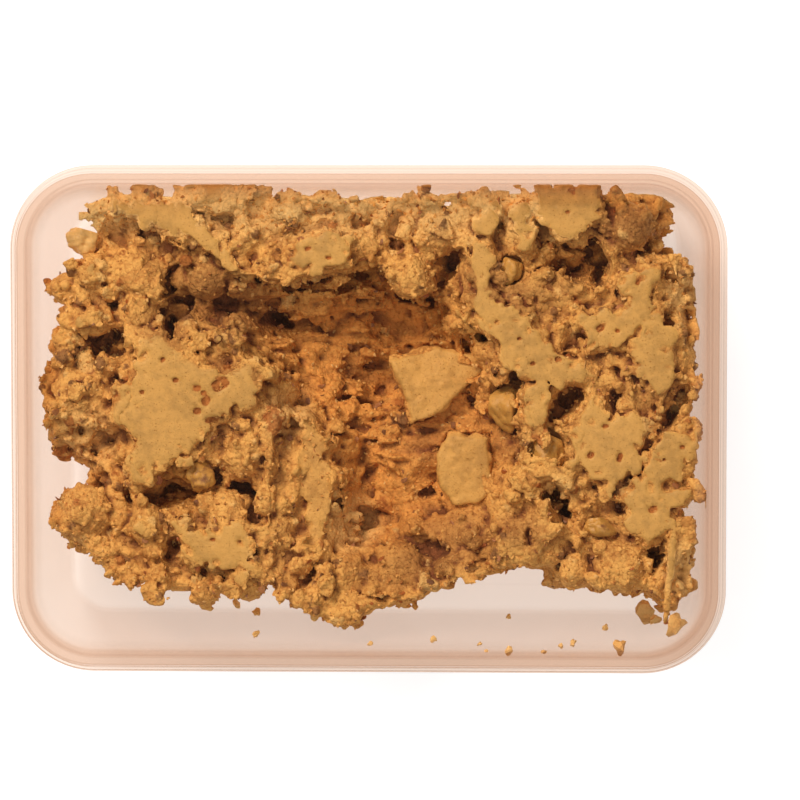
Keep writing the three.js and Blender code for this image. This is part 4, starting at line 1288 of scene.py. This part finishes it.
class HALVA_OT_build_heap(bpy.types.Operator):
    """Build the crumbled heap with the smears that it left on the lid and its loose bits"""

    bl_idname = "halva.build_heap"
    bl_label = "Heap"

    def execute(self, context):
        sizes = context.scene.halva_sizes
        colours = context.scene.halva_colours
        material = halva_material("halva_crumbled", colours)
        dough = shape_heap(context)
        cut_seats(dough)
        hollows = hollow_share(dough)
        for name, out in heap_parts(dough):
            obj, points = food_object(name, dough, out, sizes.flatness)
            paint_masks(obj, dough, points, hollows)
            finish_piece(obj, material, "halva", "halva", sharp_angle=SHARP_HALVA)
        bed, points = food_object("bed", dough, dough.out, sizes.flatness)
        paint_masks(bed, dough, points, hollows)
        touching = dough.sample(dough.room, points)
        open_top = ease(points[:, 2], 9, 14) * (1 - ease(touching, -0.9, -0.5))
        dim = np.clip(dough.sample(hollows, points) - uneven_tone(points), 0, 1)
        open_top = open_top * (1 - 0.7 * dim)
        set_mask(bed, "crag", open_top)
        by_smear = 1 - ease(dough.sample_flat(dough.near_smear, points), 0.6, 1.8)
        set_mask(bed, "torn", open_top * ease(points[:, 2], 35.5, 37.5) * by_smear)
        grains = bits_material("halva_grains", colours.crumb, colours.oily, colours.cream, 0.8)
        skin = bits_material(
            "walnut_flake_skin", colours.skin, dimmed(colours.skin, 1.9), colours.amber, 0.45)
        fibre = bits_material("halva_fibre", colours.cream, colours.crumb, colours.cream, 0.6)
        for name, shapes, settings, material, slot in (
            ("halva_crumbs", crumb_shapes(9, 1, 0.55, 81), (sizes.grain_density, 0.28, 0.72, "crag", 0.0),
             grains, "halva"),
            ("walnut_flakes", crumb_shapes(7, 1, 0.3, 82), (sizes.flake_density, 0.45, 1.2, "crag", 0.6),
             skin, "walnut"),
            ("halva_fibres", fibre_shapes(8, 83), (sizes.fibre_density, 1.2, 3.2, "torn", 0.93),
             fibre, "halva"),
        ):
            obj = scatter_bits(context, bed, name, shapes, settings, material)
            finish_piece(obj, material, slot)
            if name != "halva_fibres":
                obj.data.shade_flat()
        bpy.data.objects.remove(bed)
        return {"FINISHED"}


# ---- loose bits ----


def hidden_collection(name, meshes):
    """A collection of shapes to scatter, kept out of the scene."""
    collection = bpy.data.collections.new(name)
    for mesh in meshes:
        collection.objects.link(bpy.data.objects.new(mesh.name, mesh))
    return collection


def crumb_shapes(count, fineness, thickness, seed):
    """Small broken shapes about one unit in radius, as rough balls squashed to a thickness."""
    random = np.random.default_rng(seed)
    shapes = []
    for number in range(count):
        work = bmesh.new()
        bmesh.ops.create_icosphere(work, subdivisions=fineness, radius=1)
        for v in work.verts:
            v.co *= random.uniform(0.55, 1.15)
            v.co.x *= 1.2
            v.co.z *= thickness
            v.co.z += 0.25 * v.co.x**2
        mesh = bpy.data.meshes.new(f"bit_{seed}_{number}")
        work.to_mesh(mesh)
        work.free()
        shapes.append(mesh)
    return hidden_collection(f"bits_{seed}", shapes)


def fibre_shapes(count, seed):
    """Fine bent fibres one unit long, three-sided and pointed at both ends."""
    random = np.random.default_rng(seed)
    shapes = []
    for number in range(count):
        bend = random.uniform(-0.3, 0.3)
        lift = random.uniform(0.05, 0.25)
        wave = random.uniform(0, 6)
        points = [(-0.5, 0, 0)]
        for t in (-0.3, -0.1, 0.1, 0.3):
            middle = Vector((t, bend * t * t + 0.03 * math.sin(9 * t + wave), lift * (0.25 - t * t)))
            for corner in range(3):
                angle = corner * 2 * math.pi / 3
                points.append(middle + Vector((0, math.cos(angle), math.sin(angle))) * 0.028)
        points.append((0.5, bend * 0.25, 0))
        faces = [(0, 1 + (k + 1) % 3, 1 + k) for k in range(3)]
        for ring in range(3):
            for k in range(3):
                a, b = 1 + 3 * ring + k, 1 + 3 * ring + (k + 1) % 3
                faces.append((a, b, b + 3, a + 3))
        faces += [(13, 10 + k, 10 + (k + 1) % 3) for k in range(3)]
        mesh = bpy.data.meshes.new(f"fibre_{number}")
        mesh.from_pydata([tuple(p) for p in points], [], faces)
        shapes.append(mesh)
    return hidden_collection("fibres", shapes)


def scatter_tree():
    """Geometry nodes that scatter a collection's shapes over a mesh and join them to one mesh."""
    name = "scatter_bits"
    if name in bpy.data.node_groups:
        return bpy.data.node_groups[name]
    tree = bpy.data.node_groups.new(name, "GeometryNodeTree")
    tree.interface.new_socket("Geometry", in_out="INPUT", socket_type="NodeSocketGeometry")
    tree.interface.new_socket("Geometry", in_out="OUTPUT", socket_type="NodeSocketGeometry")
    for socket, kind in (
        ("Bits", "Collection"), ("Material", "Material"), ("Where", "String"), ("Density", "Float"),
        ("Smallest", "Float"), ("Largest", "Float"), ("Lying", "Float"), ("Seed", "Int"),
    ):
        tree.interface.new_socket(socket, in_out="INPUT", socket_type="NodeSocket" + kind)
    given = tree.nodes.new("NodeGroupInput").outputs
    where = add_node(
        tree, "GeometryNodeInputNamedAttribute", {"Name": given["Where"]}, data_type="FLOAT")
    density = maths(tree, "MULTIPLY", where.outputs["Attribute"], given["Density"])
    spots = add_node(
        tree, "GeometryNodeDistributePointsOnFaces",
        {"Mesh": given["Geometry"], "Density": density, "Seed": given["Seed"]},
        distribute_method="RANDOM")
    # Bits that lie flat only turn round the way up, others tumble freely.
    tilt = maths(tree, "MULTIPLY", maths(tree, "SUBTRACT", 1.0, given["Lying"]), math.pi)
    back = maths(tree, "MULTIPLY", tilt, -1.0)
    least = add_node(tree, "ShaderNodeCombineXYZ", {"X": back, "Y": back})
    most = add_node(tree, "ShaderNodeCombineXYZ", {"X": tilt, "Y": tilt, "Z": 2 * math.pi})
    turn = add_node(
        tree, "FunctionNodeRandomValue",
        {0: least.outputs[0], 1: most.outputs[0], "Seed": given["Seed"]}, data_type="FLOAT_VECTOR")
    spin = add_node(tree, "FunctionNodeEulerToRotation", {0: turn.outputs[0]})
    rotation = add_node(
        tree, "FunctionNodeRotateRotation",
        {0: spots.outputs["Rotation"], 1: spin.outputs[0]}, rotation_space="LOCAL")
    size = add_node(
        tree, "FunctionNodeRandomValue",
        {2: given["Smallest"], 3: given["Largest"], "Seed": given["Seed"]}, data_type="FLOAT")
    shapes = add_node(
        tree, "GeometryNodeCollectionInfo",
        {"Collection": given["Bits"], "Separate Children": True, "Reset Children": True})
    placed = add_node(
        tree, "GeometryNodeInstanceOnPoints",
        {"Points": spots.outputs["Points"], "Instance": shapes.outputs[0], "Pick Instance": True,
         "Rotation": rotation.outputs[0], "Scale": size.outputs[1]})
    tone = add_node(
        tree, "FunctionNodeRandomValue", {"Seed": maths(tree, "ADD", given["Seed"], 7)},
        data_type="FLOAT")
    toned = add_node(
        tree, "GeometryNodeStoreNamedAttribute",
        {"Geometry": placed.outputs[0], "Name": "tone", "Value": tone.outputs[1]},
        data_type="FLOAT", domain="INSTANCE")
    joined = add_node(tree, "GeometryNodeRealizeInstances", {0: toned.outputs[0]})
    painted = add_node(
        tree, "GeometryNodeSetMaterial", {0: joined.outputs[0], "Material": given["Material"]})
    result = tree.nodes.new("NodeGroupOutput")
    tree.links.new(painted.outputs[0], result.inputs[0])
    return tree


def scatter_bits(context, bed, name, shapes, settings, material):
    """Scatters loose bits over the heap, as one plain mesh."""
    density, smallest, largest, where, lying = settings
    tree = scatter_tree()
    modifier = bed.modifiers.new("bits", "NODES")
    modifier.node_group = tree
    values = {
        "Bits": shapes, "Material": material, "Where": where, "Density": density,
        "Smallest": smallest * MM, "Largest": largest * MM, "Lying": lying, "Seed": len(name),
    }
    for socket in tree.interface.items_tree:
        if socket.in_out == "INPUT" and socket.name in values:
            modifier[socket.identifier] = values[socket.name]
    bed.update_tag()
    evaluated = bed.evaluated_get(context.evaluated_depsgraph_get())
    mesh = bpy.data.meshes.new_from_object(evaluated)
    bed.modifiers.remove(modifier)
    mesh.name = name
    return link(name, mesh)


def bits_material(name, base, dark, other, roughness):
    """Loose bits, each with a tone of its own, with painted shade where they lie in a crevice."""
    material, tree, output = new_material(name)
    tone = mask(tree, "tone")
    shade = mix_colours(tree, step_between(tree, tone, 0.1, 0.8), base, dark)
    shade = mix_colours(tree, step_between(tree, tone, 0.84, 0.86), shade, other)
    # Painted shade where a bit lies in a crevice.
    dim = maths(tree, "MULTIPLY", mask(tree, "hollow"), 0.6)
    shade = mix_colours(tree, dim, shade, (0.55, 0.42, 0.36), "MULTIPLY")
    darker = mix_colours(tree, 1.0, shade, (0.8, 0.72, 0.66), "MULTIPLY")
    colour, height = grain(tree, 0.5, 0.5, 0.3, shade, darker)
    finish_food(tree, output, colour, roughness, height, 0.2, 0.5)
    return material


def resting_place(stage, x, y, radius):
    """Where the camera's ray through a spot on the lid meets the tub's floor or wall."""
    lean = Vector((math.sin(stage.lean_right), math.sin(stage.lean_back), 1)).normalized()
    eye = Vector((0, 0, LID_UNDERSIDE)) + lean * stage.distance / MM
    spot = Vector((x, y, LID_UNDERSIDE))
    for step in range(400):
        place = eye.lerp(spot, 1 + step * 0.0001)
        wall = float(outline_distance(np.array(place.x), np.array(place.y)))
        wall += np.interp(place.z, WALL_HEIGHTS, WALL_INSETS)
        if wall > -0.5 * radius or place.z < FLOOR_TOP + 0.5 * radius:
            return place
    return spot


class HALVA_OT_build_fallen_crumbs(bpy.types.Operator):
    """Build the crumbs that fell in front of the heap"""

    bl_idname = "halva.build_fallen_crumbs"
    bl_label = "Fallen crumbs"

    def execute(self, context):
        random = np.random.default_rng(90)
        shapes = crumb_shapes(5, 2, 0.8, 91).objects
        points, faces, tones = [], [], []
        for x, y, radius in FALLEN_CRUMBS:
            place = resting_place(context.scene.halva_stage, x, y, radius)
            turn = random_turn(random)
            mesh = shapes[int(random.integers(5))].data
            first = len(points)
            size = radius * random.uniform(0.85, 1.2, 3)
            points += [tuple(turn @ (np.array(v.co) * size) + np.array(place)) for v in mesh.vertices]
            faces += [tuple(first + i for i in face.vertices) for face in mesh.polygons]
            tones += [random.uniform(0, 0.4) + 0.2 * (radius > 1.5)] * len(mesh.vertices)
        obj = mesh_object("halva_fallen_crumbs", points, faces)
        set_mask(obj, "tone", np.array(tones))
        colours = context.scene.halva_colours
        material = bits_material("halva_fallen", colours.dry, colours.crumb, colours.cream, 0.8)
        finish_piece(obj, material, "halva", sharp_angle=40)
        return {"FINISHED"}


# ---- lumps that lie on their own ----


def flat_lump_field(lump, step, margin):
    """Dough shaped as a flat faced lump with worn edges."""
    corners = np.array(lump["corners"], float)
    middle = corners.mean(0)
    reach = np.abs(corners - middle).max() + margin
    centre = np.array((*(np.array(lump["at"]) + middle), lump["bottom"] + lump["thickness"] / 2))
    size = np.array((reach, reach, lump["thickness"] / 2 + margin))
    dough = Dough(centre - size, centre + size, step)
    place = lump_place(lump, dough)
    around = polygon_distance(place[0], place[1], [tuple(c - middle) for c in corners])
    layer = np.abs(place[2] - lump["thickness"] / 2) - lump["thickness"] / 2
    outside = np.hypot(np.maximum(around + WORN_EDGE, 0), np.maximum(layer + WORN_EDGE, 0))
    inside = np.minimum(np.maximum(around, layer) + WORN_EDGE, 0)
    dough.out = (outside + inside - WORN_EDGE).astype(np.float32)
    return dough


def lump_place(lump, dough):
    """Each grid point in the lump's own untilted frame, as x, y and z."""
    middle = np.mean(lump["corners"], 0)
    tilt = Matrix.Rotation(lump["tilt"][1], 3, "Y") @ Matrix.Rotation(lump["tilt"][0], 3, "X")
    inverse = np.array(tilt.inverted())
    offsets = (
        dough.x[..., None] - lump["at"][0] - middle[0],
        dough.y[..., None] - lump["at"][1] - middle[1],
        dough.z - lump["bottom"],
    )
    return [sum(row[k] * offsets[k] for k in range(3)) for row in inverse]


def cut_seats(dough):
    """Makes room in the heap for the lumps and walnuts that lie in it."""
    for lump in (SLAB, BLOCK):
        seat = flat_lump_field(lump, dough.step, 3)
        inside = np.argwhere(seat.out < SEAT_PLAY)
        points = seat.low + inside * seat.step
        cells = np.rint((points - dough.low) / dough.step).astype(int)
        values = SEAT_PLAY - seat.out[tuple(inside.T)]
        where = tuple(cells.T)
        dough.out[where] = np.maximum(dough.out[where], values)
    for centre, radii, turn in WALNUTS.values():
        dough.add_lump(np.array(centre), [r + 0.05 for r in radii], turn_matrix(*turn).T, cut=True)


class HALVA_OT_build_lumps(bpy.types.Operator):
    """Build the slab and the block that lie in the hollow"""

    bl_idname = "halva.build_lumps"
    bl_label = "Slab and block"

    def execute(self, context):
        material = bpy.data.materials["halva_crumbled"]
        for seed, (node, lump) in enumerate((("halva_slab", SLAB), ("halva_block", BLOCK))):
            dough = flat_lump_field(lump, LUMP_GRID, 2.5)
            random = np.random.default_rng(60 + seed)
            up = lump_place(lump, dough)[2]
            top = lump["thickness"]
            rough = 1 - 0.9 * ease(up, top - 1.6, top - 0.5)
            for size, depth in ((3.2, 0.7), (1.6, 0.35)):
                dough.out -= depth * rough * (np.abs(dough.noise(size, 61 + seed)) - 0.6)
            dough.out += 0.25 * dough.noise(6, 65 + seed) + 0.1 * dough.noise(1.2, 67 + seed)
            cells = dough.surface_cells()
            for i in random.choice(len(cells), size=LUMP_CRUMBS):
                centre = dough.low + cells[i] * dough.step
                radius = 0.25 + 0.5 * random.uniform() ** 2
                cut = random.uniform() < 0.6
                if up[tuple(cells[i])] > top - 1.0:
                    continue
                kind = int(random.choice([0, 1, 2], p=[0.8, 0.1, 0.1]))
                dough.add_lump(centre, [radius] * 3, UNTURNED, kind, blend=0.1, cut=cut)
            box_low, box_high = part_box(node)
            for axis, plane in enumerate((dough.x[..., None], dough.y[..., None], dough.z)):
                past = np.maximum(box_low[axis] / MM - plane, plane - box_high[axis] / MM)
                dough.out = np.maximum(dough.out, past)
            obj, points = food_object(node + "_crumbly", dough, dough.out)
            height = dough.sample(up, points)
            set_mask(obj, "pressed", 0.75 * ease(height, top - 1.4, top - 0.5))
            # Painted shade in the lump's crevices, and the painted shade and warm bounce light of the
            # hollow it lies in.
            set_mask(obj, "hollow", ease(dough.sample(dough.blurred_filling(1.2), points), 0.54, 0.8))
            set_mask(obj, "deep", np.full(len(points), 0.4))
            paint_kinds(obj, dough, points)
            finish_piece(obj, material, "halva", node, sharp_angle=SHARP_HALVA)
        return {"FINISHED"}


# ---- walnuts ----


def walnut_mesh(name, centre, radii, turn, seed):
    """A broken walnut kernel: a lobed lump with branching furrows and one flat break."""
    random = np.random.default_rng(seed)
    work = bmesh.new()
    bmesh.ops.create_icosphere(work, subdivisions=5, radius=1)
    points = np.array([v.co for v in work.verts])
    faces = [tuple(v.index for v in face.verts) for face in work.faces]
    work.free()
    swell = np.zeros(len(points))
    for strength, count, size in FURROWS:
        for _ in range(count):
            way = random.normal(size=3)
            way *= size / np.linalg.norm(way)
            swell += strength * np.abs(np.sin(points @ way + random.uniform(0, 6))) / math.sqrt(count)
    swell -= swell.max()
    points = points * (1 + 1.6 * swell)[:, None]
    for _ in range(4):
        normal = random.normal(size=3)
        normal /= np.linalg.norm(normal)
        depth = np.maximum(points @ normal - random.uniform(0.5, 0.75), 0)
        points -= 0.8 * depth[:, None] * normal
    points = (points * radii) @ np.array(Euler(turn).to_matrix()).T + centre
    return mesh_object(name, points, faces)


class HALVA_OT_build_walnuts(bpy.types.Operator):
    """Build the large bits of walnut"""

    bl_idname = "halva.build_walnuts"
    bl_label = "Walnuts"

    def execute(self, context):
        colours = context.scene.halva_colours
        brown = walnut_material("walnut_skin", colours, 0.5, colours.bare_walnut)
        worn = walnut_material("walnut_worn", colours, 0.0, colours.bare_walnut)
        pale = walnut_material("walnut_pale", colours, -0.3, colours.cream)
        for seed, (node, (centre, radii, turn)) in enumerate(WALNUTS.items()):
            obj = walnut_mesh(node + "_kernel", centre, radii, turn, 70 + seed)
            material = {"walnut_left": brown, "walnut_back_left": pale}.get(node, worn)
            finish_piece(obj, material, "walnut", node, sharp_angle=50)
        return {"FINISHED"}


# ---- stage ----

# The spot the camera aims at, and the size of one of the frame's 800 pixels there, in mm.
AIMED_AT = (7.7, 4.7, LID_UNDERSIDE)
PIXEL_SIZE = 0.2403
FRAME_WIDTH = 800
SENSOR_WIDTH = 36


class HALVA_OT_build_stage(bpy.types.Operator):
    """Build the floor, the lights and the camera"""

    bl_idname = "halva.build_stage"
    bl_label = "Stage"

    def execute(self, context):
        settings = context.scene.halva_stage
        scene = context.scene
        corners = [(-1, -1, 0), (1, -1, 0), (1, 1, 0), (-1, 1, 0)]
        floor = mesh_object("floor", corners, [(0, 1, 2, 3)], 3.0)
        material, tree, output = new_material("pale_floor")
        place = tree.nodes.new("ShaderNodeTexCoord").outputs["Object"]
        colour = mix_colours(tree, noise(tree, place, 0.3), [0.46] * 3, [0.48] * 3)
        shader = add_node(
            tree, "ShaderNodeBsdfPrincipled",
            {"Base Color": colour, "Roughness": 0.9, "Specular IOR Level": 0.1,
             "Emission Color": (1, 1, 1, 1), "Emission Strength": settings.floor_glow})
        tree.links.new(shader.outputs[0], output.inputs["Surface"])
        floor.data.materials.append(material)
        floor.location.z = -0.2 * MM
        floor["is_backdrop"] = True

        world = bpy.data.worlds.new("surround")
        world.use_nodes = True
        background = world.node_tree.nodes["Background"]
        background.inputs["Color"].default_value = (1, 1, 1, 1)
        background.inputs["Strength"].default_value = settings.surround
        scene.world = world
        self.add_light("key", settings.key_power, 0.5, (-0.5, 0.75, 0.95), (1.0, 0.97, 0.93))
        self.add_light("fill", settings.fill_power, 0.9, (0.1, -0.1, 1.3), (1.0, 0.99, 0.98))

        target = Vector(AIMED_AT) * MM
        back = Vector((math.sin(settings.lean_right), math.sin(settings.lean_back), 1)).normalized()
        camera = bpy.data.objects.new("camera", bpy.data.cameras.new("camera"))
        scene.collection.objects.link(camera)
        camera.location = Vector((0, 0, LID_UNDERSIDE * MM)) + back * settings.distance
        forward = (target - camera.location).normalized()
        right = forward.cross(Vector((0, 1, 0))).normalized()
        up = right.cross(forward)
        turned = Matrix((right, up, -forward)).transposed().to_4x4()
        camera.matrix_world = Matrix.Translation(camera.location) @ turned
        camera.data.sensor_width = SENSOR_WIDTH
        camera.data.lens = SENSOR_WIDTH / FRAME_WIDTH * settings.distance / (PIXEL_SIZE * MM)
        camera.data.clip_start, camera.data.clip_end = 0.01, 20
        scene.camera = camera
        scene.view_settings.view_transform = "Standard"
        return {"FINISHED"}

    def add_light(self, name, power, size, place, colour):
        """A soft square light that shines at the middle of the floor."""
        light = bpy.data.lights.new(name, "AREA")
        light.energy, light.size, light.color = power, size, colour
        obj = bpy.data.objects.new(name, light)
        bpy.context.scene.collection.objects.link(obj)
        obj.location = place
        obj.rotation_euler = (-Vector(place)).to_track_quat("-Z", "Y").to_euler()


# ---- add-on ----


class HALVA_PT_panel(bpy.types.Panel):
    """Lists the steps that build the tub of halva"""

    bl_idname = "HALVA_PT_panel"
    bl_label = "Walnut halva tub"
    bl_space_type = "VIEW_3D"
    bl_region_type = "UI"
    bl_category = "Halva"

    def draw(self, context):
        for group in SETTINGS:
            settings = getattr(context.scene, group)
            for name in settings.__annotations__:
                self.layout.prop(settings, name)
        for operator in OPERATORS:
            self.layout.operator(operator.bl_idname)


SETTINGS = {"halva_sizes": HalvaSizes, "halva_colours": HalvaColours, "halva_stage": StageSettings}
OPERATORS = (
    HALVA_OT_build_tub,
    HALVA_OT_build_heap,
    HALVA_OT_build_lumps,
    HALVA_OT_build_walnuts,
    HALVA_OT_build_fallen_crumbs,
    HALVA_OT_build_stage,
)


def register():
    for cls in (*SETTINGS.values(), *OPERATORS, HALVA_PT_panel):
        bpy.utils.register_class(cls)
    for name, cls in SETTINGS.items():
        setattr(bpy.types.Scene, name, PointerProperty(type=cls))


def unregister():
    for name in SETTINGS:
        delattr(bpy.types.Scene, name)
    for cls in (HALVA_PT_panel, *reversed(OPERATORS), *reversed(SETTINGS.values())):
        bpy.utils.unregister_class(cls)


def main():
    """Builds the whole scene."""
    register()
    for operator in OPERATORS:
        group, name = operator.bl_idname.split(".")
        getattr(getattr(bpy.ops, group), name)()
    boxes = {"cad": CAD_BOUNDS, "visual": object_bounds()}
    {name: [list(corner) for corner in box] for name, box in boxes.items()}


if __name__ == "__main__":
    main()
